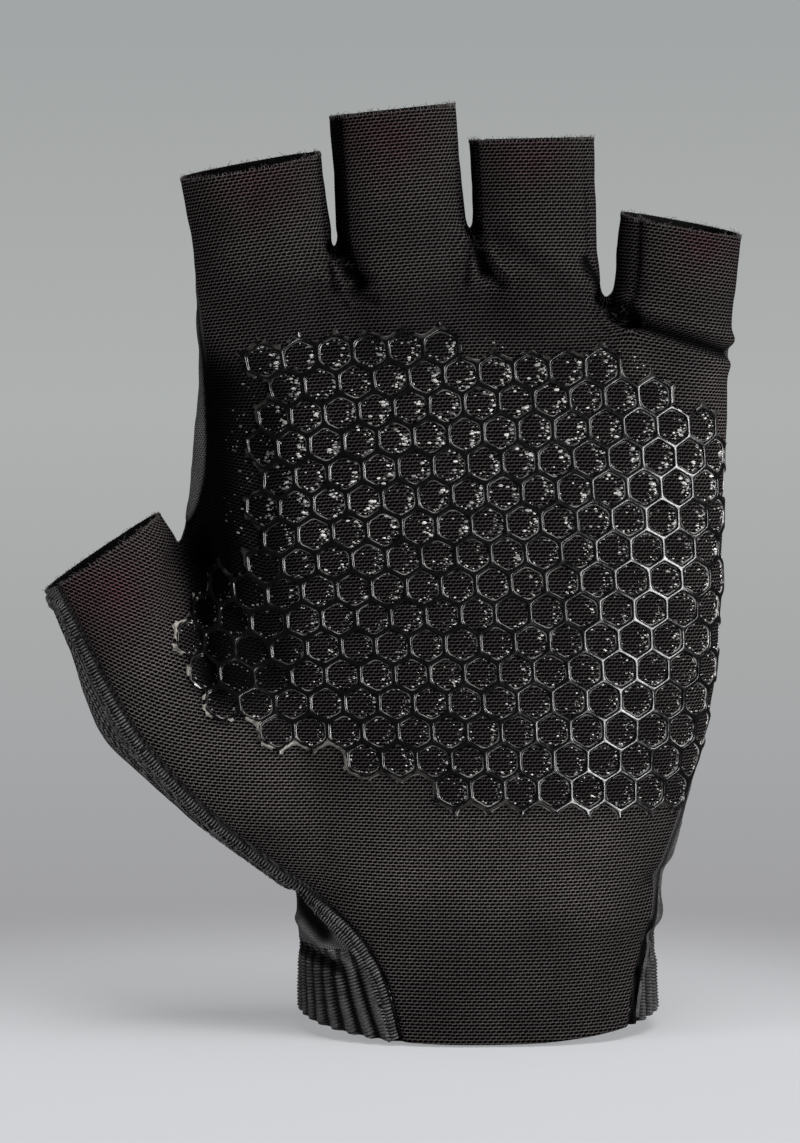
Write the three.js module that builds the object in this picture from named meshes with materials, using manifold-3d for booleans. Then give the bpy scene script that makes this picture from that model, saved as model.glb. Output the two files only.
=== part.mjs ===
// A half-finger cycling glove for the left hand, in the form that a hand gives it.
// Millimetres, +Z up the fingers, palm towards -Y, thumb towards -X.
// The origin is the middle of the wrist opening, at the height of the hem's sides.

import * as THREE from "three";
import { mergeVertices } from "three/addons/utils/BufferGeometryUtils.js";
import Module from "manifold-3d";

const wasm = await Module();
wasm.setup();

// Driving dimensions
const WALL = 1.2; // knit fabric
const SEAM_GAP = 0.3; // clearance between two pieces that are sewn together
const PRINT_THICKNESS = 0.7; // silicone over the palm
const WELT_THICKNESS = 0.8; // overlock threads over the seam
const WELT_WIDTH = 2.2;
const LITTLE_WELT_BACK = -4; // the little-finger side's welt stays in front of this depth
const CUFF_HEIGHT = 13; // ribbed wristband
const HEM_DIP = 3; // how much lower the hem is in front
const HEM_STEPS = 6;
const GUSSET_DEPTH = 15; // side strips between the fingers, front to back
const GUSSET_REACH = 5.5; // how far a strip reaches to each side of its web
const SIDE_SEAM_Y = 0; // the palm and the back meet here at the glove's sides
const HEX_PITCH = 6.16; // honeycomb, from cell to neighbouring cell
const HEX_CENTRE = [-2.0, 92.4]; // one cell's middle, x and z
const HEX_SPAN = 14; // rows and columns tried to each side of that cell
const GRIP_BACK_EDGE = -2; // the print ends here where it rounds the little-finger side
const ROUNDNESS = 2.4; // 2 is an ellipse, more is boxier
const OPEN_END = 4; // how far a hollow runs past the mouth it opens
const THROUGH = 60; // longer than the glove is deep, to each side

const PAST_GLOVE = { left: -72, right: 60, top: 175, thumb: 105, crotch: [-55, 100] };
const SEAM_STEPS = 20; // straight stretches along a seam
const WELT_STEPS = 24;

const BODY_SIDES = 32;
const FINGER_SIDES = 20;
const FINGER_STEPS = 2; // sections lofted from one row of a finger's table to the next

// The hand part, one row for each level or fold: its left and right edge, and how far it
// reaches to the front and the back
const BODY = [
  { z: -6, left: -32.4, right: 32.4, front: 21.5, back: 21.5 },
  { z: 6, left: -32.4, right: 32.2, front: 21.4, back: 21.4 },
  { z: 13, left: -32.4, right: 32.1, front: 20.6, back: 20.9 },
  { z: 17, left: -33.0, right: 33.8, front: 20.3, back: 20.6 },
  { z: 22, left: -33.2, right: 33.2, front: 19.6, back: 19.8 },
  { z: 28, left: -36.5, right: 35.6, front: 19.0, back: 19.3 },
  { z: 45, left: -46.0, right: 40.0, front: 18.0, back: 18.4 },
  { z: 60, left: -49.5, right: 42.8, front: 17.2, back: 17.6 },
  { z: 76, left: -53.8, right: 43.8, front: 16.2, back: 17.0 },
  { z: 84, left: -53.6, right: 43.9, front: 15.7, back: 16.6 },
  { z: 96, left: -51.8, right: 44.1, front: 15.0, back: 16.0 },
  { z: 112, left: -50.4, right: 44.8, front: 13.8, back: 14.8 },
  { z: 119, left: -50.0, right: 44.2, front: 13.0, back: 13.8 },
  { z: 127, left: -44.0, right: 38.0, front: 9.5, back: 10.5 },
];

// The fingers and the thumb, one row for each section from the root to the mouth: its middle,
// half its width and depth, its lean to the right and its curl towards the palm in degrees
const FINGERS = {
  index: [
    { x: -35.0, y: 0.0, z: 104.0, wide: 9.0, deep: 8.5, lean: 0, curl: 0 },
    { x: -37.8, y: 0.0, z: 120.0, wide: 12.4, deep: 12.0, lean: -4, curl: 0 },
    { x: -38.4, y: -0.6, z: 136.0, wide: 12.6, deep: 11.5, lean: -7, curl: 2 },
    { x: -40.3, y: -1.6, z: 151.7, wide: 13.0, deep: 10.5, lean: -10.3, curl: 4 },
  ],
  middle: [
    { x: -13.0, y: 0.0, z: 104.0, wide: 9.0, deep: 10.0, lean: 0, curl: 0 },
    { x: -13.2, y: 0.0, z: 122.0, wide: 11.9, deep: 12.5, lean: -1, curl: 0 },
    { x: -13.9, y: -0.5, z: 140.0, wide: 11.7, deep: 11.6, lean: -4, curl: 1.5 },
    { x: -15.45, y: -1.3, z: 161.5, wide: 11.2, deep: 10.5, lean: -5.9, curl: 2.5 },
  ],
  ring: [
    { x: 10.0, y: 0.0, z: 104.0, wide: 9.0, deep: 9.5, lean: 0, curl: 0 },
    { x: 10.6, y: 0.0, z: 120.0, wide: 11.8, deep: 12.0, lean: 0, curl: 0 },
    { x: 10.15, y: -0.5, z: 138.0, wide: 11.0, deep: 11.2, lean: -1, curl: 1 },
    { x: 9.5, y: -1.2, z: 156.4, wide: 11.0, deep: 10.2, lean: -1.3, curl: 2 },
  ],
  little: [
    { x: 27.0, y: 0.0, z: 95.0, wide: 8.0, deep: 8.0, lean: 6, curl: 0 },
    { x: 33.2, y: 0.0, z: 113.0, wide: 10.9, deep: 10.6, lean: 6, curl: 0 },
    { x: 34.6, y: -0.5, z: 127.0, wide: 10.9, deep: 10.5, lean: 8, curl: 2 },
    { x: 36.0, y: -1.2, z: 141.3, wide: 11.0, deep: 9.6, lean: 10.5, curl: 3.5 },
  ],
  thumb: [
    { x: -22.0, y: 0.0, z: 24.0, wide: 9.0, deep: 13.0, lean: -34, curl: 0 },
    { x: -35.0, y: -0.4, z: 40.0, wide: 15.3, deep: 15.5, lean: -36, curl: 0 },
    { x: -51.5, y: -0.8, z: 57.5, wide: 17.6, deep: 14.0, lean: -36, curl: 0 },
    { x: -57.0, y: -1.0, z: 65.5, wide: 16.6, deep: 13.0, lean: -35, curl: 0 },
    { x: -61.5, y: -1.0, z: 73.0, wide: 14.3, deep: 12.0, lean: -34, curl: -1 },
    { x: -67.5, y: -1.0, z: 82.7, wide: 12.4, deep: 10.5, lean: -33.8, curl: -1 },
  ],
};

// The web between two fingers: its top, and where the strip ends at the fingers' mouths
const WEBS = {
  index_middle_gusset: { x: -25.7, z: 136.0, top: [-27.5, 162] },
  middle_ring_gusset: { x: -1.5, z: 140.0, top: [-3.0, 164] },
  ring_little_gusset: { x: 22.9, z: 128.5, top: [23.0, 156] },
};
// How a web rounds off below its top
const WEB_SECTIONS = [
  { below: 26, wide: 6.0, deep: 9.0 },
  { below: 7, wide: 6.0, deep: 10.2 },
  { below: 1.5, wide: 4.6, deep: 9.2 },
  { below: 0, wide: 2.6, deep: 7.6 },
];

// Seams seen from the front, as x and z along their length
const THUMB_SEAM = [
  [-76.6, 80.2], [-72.9, 73.3], [-66.2, 60.1], [-58.1, 47.5], [-44.6, 33.8],
  [-32.6, 24.5], [-22.7, 17.1], [-17.4, 9.6], [-15.2, 3.0], [-13.2, -6.0],
];
const LITTLE_SEAM = [
  [27.0, -6.0], [27.4, 1.0], [28.6, 8.1], [31.4, 17.5], [32.8, 25.0], [36.5, 34.7], [40.5, 46.0],
];
const INDEX_SEAM = [
  [-56.0, 156.0], [-52.5, 138.0], [-49.8, 124.0], [-48.6, 104.0], [-49.2, 95.0], [-51.4, 88.8],
  [-54.2, 86.7],
];

// The printed area, seen from the front
const GRIP_AREA = [
  [-44, 121.5], [-7, 123], [15, 121], [29, 117.5], [39, 112.5], [47, 106], [47, 52], [42, 47],
  [34, 40], [22, 37], [7, 37], [-9, 39], [-24, 42], [-37, 48], [-50, 55.5], [-57, 61],
  [-59, 69], [-53, 75], [-45, 82],
];

// A closed mesh becomes a solid that can be joined and cut
function toSolid(geometry) {
  const bare = geometry.clone();
  bare.deleteAttribute("normal");
  bare.deleteAttribute("uv");
  const merged = mergeVertices(bare, 1e-4);
  return new wasm.Manifold(new wasm.Mesh({
    numProp: 3,
    vertProperties: new Float32Array(merged.attributes.position.array),
    triVerts: new Uint32Array(merged.index.array),
  }));
}

function toGeometry(solid) {
  const mesh = solid.getMesh();
  const geometry = new THREE.BufferGeometry();
  geometry.setAttribute("position", new THREE.BufferAttribute(mesh.vertProperties, 3));
  geometry.setIndex(new THREE.BufferAttribute(mesh.triVerts, 1));
  geometry.computeVertexNormals();
  return geometry;
}

// Cutting can leave loose slivers, so a piece is its largest body
function mainBody(solid) {
  return solid.decompose().sort((a, b) => b.volume() - a.volume())[0];
}

// Rows between a table's rows, each column on a smooth curve through the table
function smoothRows(rows, steps) {
  const columns = Object.keys(rows[0]);
  const out = [];
  for (let i = 0; i < rows.length - 1; i++) {
    const before = rows[Math.max(i - 1, 0)];
    const after = rows[Math.min(i + 2, rows.length - 1)];
    for (let step = 0; step < steps; step++) {
      const t = step / steps;
      const row = {};
      for (const c of columns) {
        const [a, b] = [rows[i][c], rows[i + 1][c]];
        const [slopeA, slopeB] = [(b - before[c]) / 2, (after[c] - a) / 2];
        row[c] = a + slopeA * t + (3 * (b - a) - 2 * slopeA - slopeB) * t ** 2
          + (2 * (a - b) + slopeA + slopeB) * t ** 3;
      }
      out.push(row);
    }
  }
  return [...out, rows.at(-1)];
}

// A closed body lofted through rings of points, with a flat cap at each end
function loft(rings) {
  const sides = rings[0].length;
  const points = rings.flat();
  const triangles = [];
  for (let r = 0; r < rings.length - 1; r++) {
    for (let s = 0; s < sides; s++) {
      const [a, b] = [r * sides + s, r * sides + ((s + 1) % sides)];
      triangles.push(a, b, b + sides, a, b + sides, a + sides);
    }
  }
  for (const [ring, turn] of [[0, -1], [rings.length - 1, 1]]) {
    const middle = rings[ring].reduce((sum, p) => sum.clone().add(p), new THREE.Vector3());
    points.push(middle.divideScalar(sides));
    for (let s = 0; s < sides; s++) {
      const [a, b] = [ring * sides + s, ring * sides + ((s + 1) % sides)];
      triangles.push(...(turn > 0 ? [a, b, points.length - 1] : [b, a, points.length - 1]));
    }
  }
  const geometry = new THREE.BufferGeometry().setFromPoints(points);
  geometry.setIndex(triangles);
  return toSolid(geometry);
}

// One section: a boxy ellipse with its own depth to the front and to the back
function section(sides, wide, front, back) {
  const ring = [];
  for (let s = 0; s < sides; s++) {
    const turn = (2 * Math.PI * (s + 0.5)) / sides;
    const [c, d] = [Math.cos(turn), Math.sin(turn)];
    const across = Math.sign(c) * Math.abs(c) ** (2 / ROUNDNESS);
    const along = Math.sign(d) * Math.abs(d) ** (2 / ROUNDNESS);
    ring.push([wide * across, (d < 0 ? front : back) * along]);
  }
  return ring;
}

// The hand part, grown by an offset that is negative for the hollow, which also runs past
// the wrist opening
function handBody(offset, past) {
  const rings = BODY.map((row, i) => {
    const middle = (row.left + row.right) / 2;
    const wide = (row.right - row.left) / 2 + offset;
    let z = row.z;
    if (i === 0) z -= past;
    if (i === BODY.length - 1) z += offset;
    return section(BODY_SIDES, wide, row.front + offset, row.back + offset)
      .map(([x, y]) => new THREE.Vector3(middle + x, y, z));
  });
  return loft(rings);
}

// A finger or the thumb, grown by the same offset, and run past its mouth
function fingerTube(table, offset, past) {
  const rows = smoothRows(table, FINGER_STEPS);
  const rings = rows.map((row, i) => {
    const lean = THREE.MathUtils.degToRad(row.lean);
    const curl = THREE.MathUtils.degToRad(row.curl);
    const turn = new THREE.Matrix4().makeRotationY(lean)
      .multiply(new THREE.Matrix4().makeRotationX(curl));
    const up = i === rows.length - 1 ? past : 0;
    const place = new THREE.Vector3(row.x, row.y, row.z);
    return section(FINGER_SIDES, row.wide + offset, row.deep + offset, row.deep + offset)
      .map(([x, y]) => new THREE.Vector3(x, y, up).applyMatrix4(turn).add(place));
  });
  return loft(rings);
}

// The web at the foot of two fingers, grown by the same offset
function webBlock(web, offset) {
  return loft(WEB_SECTIONS.map((row) => {
    const top = row.below < GUSSET_REACH ? offset : 0;
    return section(FINGER_SIDES, row.wide + offset, row.deep + offset, row.deep + offset)
      .map(([x, y]) => new THREE.Vector3(web.x + x, y, web.z - row.below + top));
  }));
}

// The whole glove as one solid, grown by an offset, and run past its mouths
function gloveForm(offset, past) {
  const parts = [
    ...Object.values(FINGERS).map((table) => fingerTube(table, offset, past)),
    ...Object.values(WEBS).map((web) => webBlock(web, offset)),
  ];
  return parts.reduce((form, part) => form.add(part), handBody(offset, past));
}

// A plate with an x-z outline, from one depth to another
function plate(outline, fromY, toY) {
  const shape = new THREE.Shape(outline.map(([x, z]) => new THREE.Vector2(x, z)));
  const geometry = new THREE.ExtrudeGeometry(shape, { depth: toY - fromY, bevelEnabled: false });
  geometry.rotateX(Math.PI / 2);
  geometry.translate(0, toY, 0);
  return toSolid(geometry);
}

// A smooth line through a seam's points
function seamLine(points, count) {
  const curve = new THREE.CatmullRomCurve3(points.map(([x, z]) => new THREE.Vector3(x, 0, z)));
  return curve.getPoints(count).map((p) => [p.x, p.z]);
}

// The outline beside a line, at a distance to its left as the line runs
function beside(line, distance) {
  return line.map(([x, z], i) => {
    const [ax, az] = line[Math.max(i - 1, 0)];
    const [bx, bz] = line[Math.min(i + 1, line.length - 1)];
    const length = Math.hypot(bx - ax, bz - az);
    return [x - ((bz - az) / length) * distance, z + ((bx - ax) / length) * distance];
  });
}

// Everything in front that the palm panel takes, grown past its seams by a margin
function palmRegion(margin) {
  const { left, right, top, thumb, crotch } = PAST_GLOVE;
  const [thumbSide, littleSide, indexSide] = [THUMB_SEAM, LITTLE_SEAM, INDEX_SEAM].map(
    (seam) => beside(seamLine(seam, SEAM_STEPS), -margin));
  const outline = [
    ...thumbSide,
    ...littleSide, [right, littleSide.at(-1)[1]], [right, top],
    [indexSide[0][0], top], ...indexSide, crotch, [left, thumb],
  ];
  return plate(outline, -THROUGH, SIDE_SEAM_Y + margin);
}

// The strip between two fingers
function gussetRegion(web, margin) {
  const reach = GUSSET_REACH + margin;
  const low = web.z - GUSSET_REACH - margin;
  const [topX, topZ] = web.top;
  const outline = [
    [web.x - reach, low], [web.x + reach, low],
    [topX + reach, topZ + OPEN_END], [topX - reach, topZ + OPEN_END],
  ];
  return plate(outline, -GUSSET_DEPTH / 2 - margin, GUSSET_DEPTH / 2 + margin);
}

function cuffRegion(margin) {
  const outline = [[-THROUGH, -THROUGH], [THROUGH, -THROUGH],
    [THROUGH, CUFF_HEIGHT + margin], [-THROUGH, CUFF_HEIGHT + margin]];
  return plate(outline, -THROUGH, THROUGH);
}

// What is cut away below the hem, which dips in front
function belowHem() {
  const front = -THROUGH / 2;
  const outline = [[front, -THROUGH], [THROUGH, -THROUGH], [THROUGH, 0]];
  for (let i = 0; i <= HEM_STEPS; i++) {
    const y = (front * i) / HEM_STEPS;
    outline.push([y, -HEM_DIP * Math.min(1, Math.abs(y) / BODY[0].front) ** 2]);
  }
  const shape = new THREE.Shape(outline.map(([y, z]) => new THREE.Vector2(y, z)));
  const geometry = new THREE.ExtrudeGeometry(shape, { depth: 2 * THROUGH, bevelEnabled: false });
  geometry.rotateX(Math.PI / 2);
  geometry.rotateZ(Math.PI / 2);
  geometry.translate(-THROUGH, 0, 0);
  return toSolid(geometry);
}

// Whether a point is inside an outline
function inside([x, z], outline) {
  let within = false;
  outline.forEach(([ax, az], i) => {
    const [bx, bz] = outline[(i + 1) % outline.length];
    if (az > z !== bz > z && x < ax + ((z - az) * (bx - ax)) / (bz - az)) within = !within;
  });
  return within;
}

// The ragged outline of a honeycomb: the cell sides that only one cell has, end to end
function honeycombOutline(area) {
  const radius = HEX_PITCH / Math.sqrt(3);
  const rowPitch = radius * 1.5;
  const corner = ([x, z], k) => {
    const turn = Math.PI / 6 + (k * Math.PI) / 3;
    return [x + radius * Math.cos(turn), z + radius * Math.sin(turn)];
  };
  const key = ([x, z]) => [
    Math.round((x - HEX_CENTRE[0]) / (HEX_PITCH / 2)),
    Math.round((z - HEX_CENTRE[1]) / (radius / 2)),
  ].join();
  const sides = new Map();
  for (let row = -HEX_SPAN; row <= HEX_SPAN; row++) {
    for (let column = -HEX_SPAN; column <= HEX_SPAN; column++) {
      const shift = row % 2 === 0 ? 0 : HEX_PITCH / 2;
      const cell = [HEX_CENTRE[0] + column * HEX_PITCH + shift, HEX_CENTRE[1] + row * rowPitch];
      if (!inside(cell, area)) continue;
      for (let k = 0; k < 6; k++) {
        const [from, to] = [corner(cell, k), corner(cell, k + 1)];
        const twin = `${key(to)} ${key(from)}`;
        if (!sides.delete(twin)) sides.set(`${key(from)} ${key(to)}`, [from, to]);
      }
    }
  }
  const next = new Map([...sides.values()].map(([from, to]) => [key(from), [from, to]]));
  const outline = [];
  let [from, to] = [...next.values()][0];
  while (outline.length < next.size) {
    outline.push(from);
    [from, to] = next.get(key(to));
  }
  return outline;
}

// A thin layer over the fabric, inside an outline seen from the front
function layer(outline, thickness, backEdge) {
  const skin = gloveForm(SEAM_GAP + thickness, 0).subtract(gloveForm(SEAM_GAP, OPEN_END));
  return mainBody(skin.intersect(plate(outline, -THROUGH, backEdge)));
}

// A welt along a seam, on the side away from the palm
function welt(points, backEdge) {
  const line = seamLine(points, WELT_STEPS).slice(1, -1);
  const outline = [...line, ...beside(line, -WELT_WIDTH).reverse()];
  return layer(outline, WELT_THICKNESS, backEdge).subtract(belowHem());
}

const fabric = (colour, roughness) => new THREE.MeshStandardMaterial({
  color: colour, roughness, metalness: 0,
});
const materials = {
  mesh_knit: fabric(0x2d282a, 0.85),
  fine_knit: fabric(0x2b2c2f, 0.8),
  rib_knit: fabric(0x232427, 0.85),
  silicone: fabric(0x0c0c0d, 0.25),
  overlock_thread: fabric(0x3a3a3c, 0.7),
};

const shell = gloveForm(0, 0).subtract(gloveForm(-WALL, OPEN_END)).subtract(belowHem());
const cutAllGussets = (solid) => Object.values(WEBS).reduce(
  (left, web) => left.subtract(gussetRegion(web, SEAM_GAP)), solid);

const pieces = {
  palm_panel: [cutAllGussets(shell.intersect(palmRegion(0))), materials.mesh_knit],
  back_panel: [
    cutAllGussets(shell.subtract(palmRegion(SEAM_GAP)).subtract(cuffRegion(SEAM_GAP))),
    materials.fine_knit,
  ],
  ribbed_cuff: [
    shell.intersect(cuffRegion(0)).subtract(palmRegion(SEAM_GAP)), materials.rib_knit],
};
for (const [name, web] of Object.entries(WEBS)) {
  pieces[name] = [shell.intersect(gussetRegion(web, 0)), materials.mesh_knit];
}
pieces.grip_print = [
  layer(honeycombOutline(GRIP_AREA), PRINT_THICKNESS, GRIP_BACK_EDGE), materials.silicone];
pieces.thumb_seam_welt = [welt(THUMB_SEAM, SIDE_SEAM_Y), materials.overlock_thread];
pieces.little_seam_welt = [welt(LITTLE_SEAM.slice(0, -1), LITTLE_WELT_BACK), materials.overlock_thread];

const glove = new THREE.Group();
for (const [name, [solid, material]] of Object.entries(pieces)) {
  const mesh = new THREE.Mesh(toGeometry(mainBody(solid)), material);
  mesh.name = name;
  glove.add(mesh);
}

export default glove;
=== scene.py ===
import math
import random

import bmesh
import bpy
import numpy as np
from mathutils import Matrix, Quaternion, Vector, noise
from mathutils.bvhtree import BVHTree


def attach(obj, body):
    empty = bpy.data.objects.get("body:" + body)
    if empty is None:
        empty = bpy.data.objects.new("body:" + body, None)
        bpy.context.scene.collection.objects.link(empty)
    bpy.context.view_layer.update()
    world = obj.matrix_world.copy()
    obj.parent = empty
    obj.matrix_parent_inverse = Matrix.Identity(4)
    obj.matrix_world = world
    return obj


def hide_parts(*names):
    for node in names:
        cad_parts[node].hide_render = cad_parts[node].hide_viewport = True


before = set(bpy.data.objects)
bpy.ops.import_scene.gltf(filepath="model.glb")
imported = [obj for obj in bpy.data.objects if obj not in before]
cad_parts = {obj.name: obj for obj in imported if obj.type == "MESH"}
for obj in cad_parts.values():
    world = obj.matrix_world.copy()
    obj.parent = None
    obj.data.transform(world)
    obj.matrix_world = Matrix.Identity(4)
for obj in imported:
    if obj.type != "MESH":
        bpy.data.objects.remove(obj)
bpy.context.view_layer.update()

# A half-finger cycling glove for the left hand, in worn form. Tables and sizes are in
# millimetres, and every mesh is turned into metres when it is made. Materials are in
# millimetres of the flat layout or metres of the glove, and lights in metres.
MM = 0.001
BODY = "root"


def table(columns, rows):
    """Rows with named columns."""
    return [dict(zip(columns.split(), row)) for row in rows]


# Driving dimensions of the cloth, and how finely its form is made
WALL = 1.0
VOXEL = 0.8
ROUNDNESS = 2.4
PAST_MOUTH = 4.0
HAND_SIDES = 120
FINGER_SIDES = 64
ROW_STEPS = 6
FORM_SMOOTHING = 12
CAMERA_PLACE = (-14.04, -700.0, 140.0)

# The hand part at each level: left and right edge, reach to the front and the back, and how
# boxy the left and right halves are, where 2 is an ellipse
HAND = table("z left right front back lbox rbox", [
    (-8, -32.4, 32.4, 21.5, 21.5, 2.4, 2.3),
    (6, -32.4, 32.2, 21.4, 21.4, 2.4, 2.3),
    (13, -32.4, 32.1, 20.6, 20.9, 2.4, 2.2),
    (17, -33.0, 33.8, 20.3, 20.6, 2.4, 2.2),
    (22, -33.2, 33.2, 19.6, 19.8, 2.4, 2.1),
    (28, -36.5, 35.6, 19.0, 19.3, 2.4, 2.0),
    (45, -46.0, 40.0, 18.0, 18.4, 2.3, 2.0),
    (60, -49.5, 42.8, 17.2, 17.6, 2.1, 2.15),
    (76, -53.8, 43.8, 16.2, 17.0, 2.0, 2.35),
    (84, -53.6, 43.9, 15.7, 16.6, 2.0, 2.4),
    (96, -51.8, 44.1, 15.0, 16.0, 2.0, 2.5),
    (112, -50.4, 44.8, 13.8, 14.8, 2.1, 2.5),
    (119, -50.0, 44.2, 13.0, 13.8, 2.3, 2.5),
    (127, -44.0, 38.0, 9.5, 10.5, 2.4, 2.4),
])

# The fingers and the thumb, from root to mouth: middle, half width and depth, lean to the
# right and curl towards the palm in degrees
FINGER_COLUMNS = "x y z wide deep lean curl"
FINGERS = {
    "index": table(FINGER_COLUMNS, [
        (-35.0, 0.0, 104.0, 9.0, 8.5, 0, 0),
        (-37.8, 0.0, 120.0, 12.4, 12.0, -4, 0),
        (-38.5, -0.6, 136.0, 12.45, 11.5, -7, 2),
        (-40.6, -1.6, 151.7, 12.7, 10.5, -10.3, 5),
    ]),
    "middle": table(FINGER_COLUMNS, [
        (-13.0, 0.0, 104.0, 9.0, 10.0, 0, 0),
        (-13.2, 0.0, 122.0, 11.9, 12.5, -1, 0),
        (-13.82, -0.5, 140.0, 11.6, 11.6, -4, 1.5),
        (-15.45, -1.3, 161.5, 11.2, 10.5, -5.9, 2.5),
    ]),
    "ring": table(FINGER_COLUMNS, [
        (10.0, 0.0, 104.0, 9.0, 9.5, 0, 0),
        (10.6, 0.0, 120.0, 11.8, 12.0, 0, 0),
        (10.15, -0.5, 138.0, 11.0, 11.2, -1, 1),
        (9.35, -1.2, 156.4, 11.15, 10.2, -1.3, 2),
    ]),
    "little": table(FINGER_COLUMNS, [
        (27.0, 0.0, 95.0, 8.0, 8.0, 6, 0),
        (33.2, 0.0, 113.0, 10.9, 10.6, 6, 0),
        (34.6, -0.5, 127.0, 10.9, 10.5, 8, 2),
        (36.0, -1.2, 141.3, 11.0, 9.6, 10.5, 4.5),
    ]),
    "thumb": table(FINGER_COLUMNS, [
        (-22.0, 0.0, 24.0, 9.0, 13.0, -34, 0),
        (-35.0, -0.4, 40.0, 15.3, 15.5, -36, 0),
        (-51.5, -0.8, 57.5, 17.6, 14.0, -36, 0),
        (-57.0, -1.0, 65.5, 16.6, 13.0, -35, 0),
        (-62.1, -1.0, 72.6, 13.5, 12.0, -34, 0.5),
        (-67.5, -1.0, 82.7, 12.4, 10.5, -33.8, 2.5),
    ]),
}

# The web between two fingers, and the line of the gap over it
WEBS = {
    "index_middle_gusset": {"x": -25.8, "z": 137.0, "top_x": -27.5, "top_z": 162.0},
    "middle_ring_gusset": {"x": -1.5, "z": 140.4, "top_x": -3.0, "top_z": 164.0},
    "ring_little_gusset": {"x": 22.9, "z": 128.2, "top_x": 23.0, "top_z": 156.0},
}
# How far to the front and back a gusset reaches on its left and right finger
GUSSET_DEPTHS = {
    "index_middle_gusset": {"left": 5.0, "right": 7.6},
    "middle_ring_gusset": {"left": 5.5, "right": 6.5},
    "ring_little_gusset": {"left": 7.5, "right": 8.8},
}
# The notch between thumb and palm, in the same terms, and each web's sections under its top
THUMB_NOTCH = {"x": -54.0, "z": 83.4, "top_x": -55.4, "top_z": 92.0}
WEB_SECTIONS = table("below wide deep", [
    (26, 6.0, 9.0),
    (7, 6.0, 10.2),
    (1.5, 4.6, 9.2),
    (0, 2.6, 7.6),
])
# How far a gap is opened for the remesh, how near its middle that is done and how far under the
# web it starts, and the small steps that close it again
GAP_EXTRA = 2.4
GAP_REACH = 0.38
GAP_START = 8.0
CLOSING_STEPS = 60
CLOSING_SHARE = 0.35
# Where the palm falls away to its index side: the levels at which the fall starts, is full, fades
# and ends, its reach from the middle, its left limit and the share of the depth that it takes
INDEX_FALL = {"levels": (62, 80, 108, 122), "across": (42, 50.5), "left": -56, "share": 0.55}
GUSSET_REACH = 5.5
CUFF_HEIGHT = 13.0
HEM_DIP = 3.0
MOUTH_MARGIN = 1.5
MOUTH_FAR = -6

# Seams seen from the front, x and z along their length
THUMB_SEAM = [
    (-76.6, 80.2), (-72.9, 73.3), (-66.2, 60.1), (-58.1, 47.5), (-44.6, 33.8),
    (-32.6, 24.5), (-22.7, 17.1), (-17.4, 9.6), (-15.2, 3.0), (-13.2, -6.0),
]
LITTLE_SEAM = [
    (27.0, -6.0), (27.4, 1.0), (28.6, 8.1), (31.4, 17.5), (32.8, 25.0), (36.5, 34.7), (40.5, 46.0),
]
INDEX_SEAM = [
    (-56.0, 156.0), (-52.5, 138.0), (-49.8, 124.0), (-48.6, 104.0), (-49.2, 95.0), (-51.4, 88.8),
    (-54.2, 86.7),
]
PAST_GLOVE = {"left": -72, "right": 60, "top": 175, "thumb": 105, "crotch": (-55, 100)}


# Curves and tables

def catmull(before, a, b, after, t):
    """A smooth value between a and b."""
    slope_a, slope_b = (b - before) / 2, (after - a) / 2
    cube = 2 * (a - b) + slope_a + slope_b
    square = 3 * (b - a) - 2 * slope_a - slope_b
    return a + slope_a * t + square * t ** 2 + cube * t ** 3


def smooth_line(points, steps=8):
    """A smooth open line through points of any dimension."""
    p = [np.array(q, float) for q in points]
    out = []
    for i in range(len(p) - 1):
        before, after = p[max(i - 1, 0)], p[min(i + 2, len(p) - 1)]
        out += [catmull(before, p[i], p[i + 1], after, s / steps) for s in range(steps)]
    return np.array(out + [p[-1]])


def smooth_rows(rows):
    """Rows between a table's rows, each column on a smooth curve."""
    line = smooth_line([list(row.values()) for row in rows], ROW_STEPS)
    return [dict(zip(rows[0], values)) for values in line]


def smoothstep(x, low, high):
    t = np.clip((x - low) / (high - low), 0, 1)
    return t * t * (3 - 2 * t)


def between(x, start, full, fade, end):
    """1 from full to fade, and nothing before the start and past the end."""
    return smoothstep(x, start, full) * (1 - smoothstep(x, fade, end))


def bell(distance, reach):
    """1 at no distance, and next to nothing at twice the reach."""
    return np.exp(-((distance / reach) ** 2))


def unit(vectors):
    return vectors / np.maximum(np.linalg.norm(vectors, axis=1, keepdims=True), 1e-9)


HAND_ROWS = smooth_rows(HAND)
FINGER_ROWS = {name: smooth_rows(rows) for name, rows in FINGERS.items()}


# The form that fills out the cloth, made as overlapping tubes and joined by a voxel remesh

def section(sides, wide, front, back, left_box=ROUNDNESS, right_box=ROUNDNESS):
    turn = 2 * np.pi * (np.arange(sides) + 0.5) / sides
    power = 2 / np.where(np.cos(turn) < 0, left_box, right_box)
    across = np.sign(np.cos(turn)) * np.abs(np.cos(turn)) ** power
    along = np.sign(np.sin(turn)) * np.abs(np.sin(turn)) ** power
    return wide * across, np.where(along < 0, front, back) * along


def hand_rings():
    rings = []
    for row in HAND_ROWS:
        wide = (row["right"] - row["left"]) / 2
        x, y = section(HAND_SIDES, wide, row["front"], row["back"], row["lbox"], row["rbox"])
        rings.append(np.stack([x + (row["left"] + row["right"]) / 2, y, np.full_like(x, row["z"])], 1))
    return rings


def lean_matrix(row):
    lean, curl = math.radians(row["lean"]), math.radians(row["curl"])
    return np.array(Matrix.Rotation(lean, 3, "Y") @ Matrix.Rotation(curl, 3, "X"))


def finger_rings(rows):
    rings = []
    for i, row in enumerate(rows + [rows[-1]]):
        x, y = section(FINGER_SIDES, row["wide"], row["deep"], row["deep"])
        past = PAST_MOUTH if i == len(rows) else 0.0
        local = np.stack([x, y, np.full_like(x, past)], 1)
        rings.append(local @ lean_matrix(row).T + [row["x"], row["y"], row["z"]])
    return rings


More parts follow.
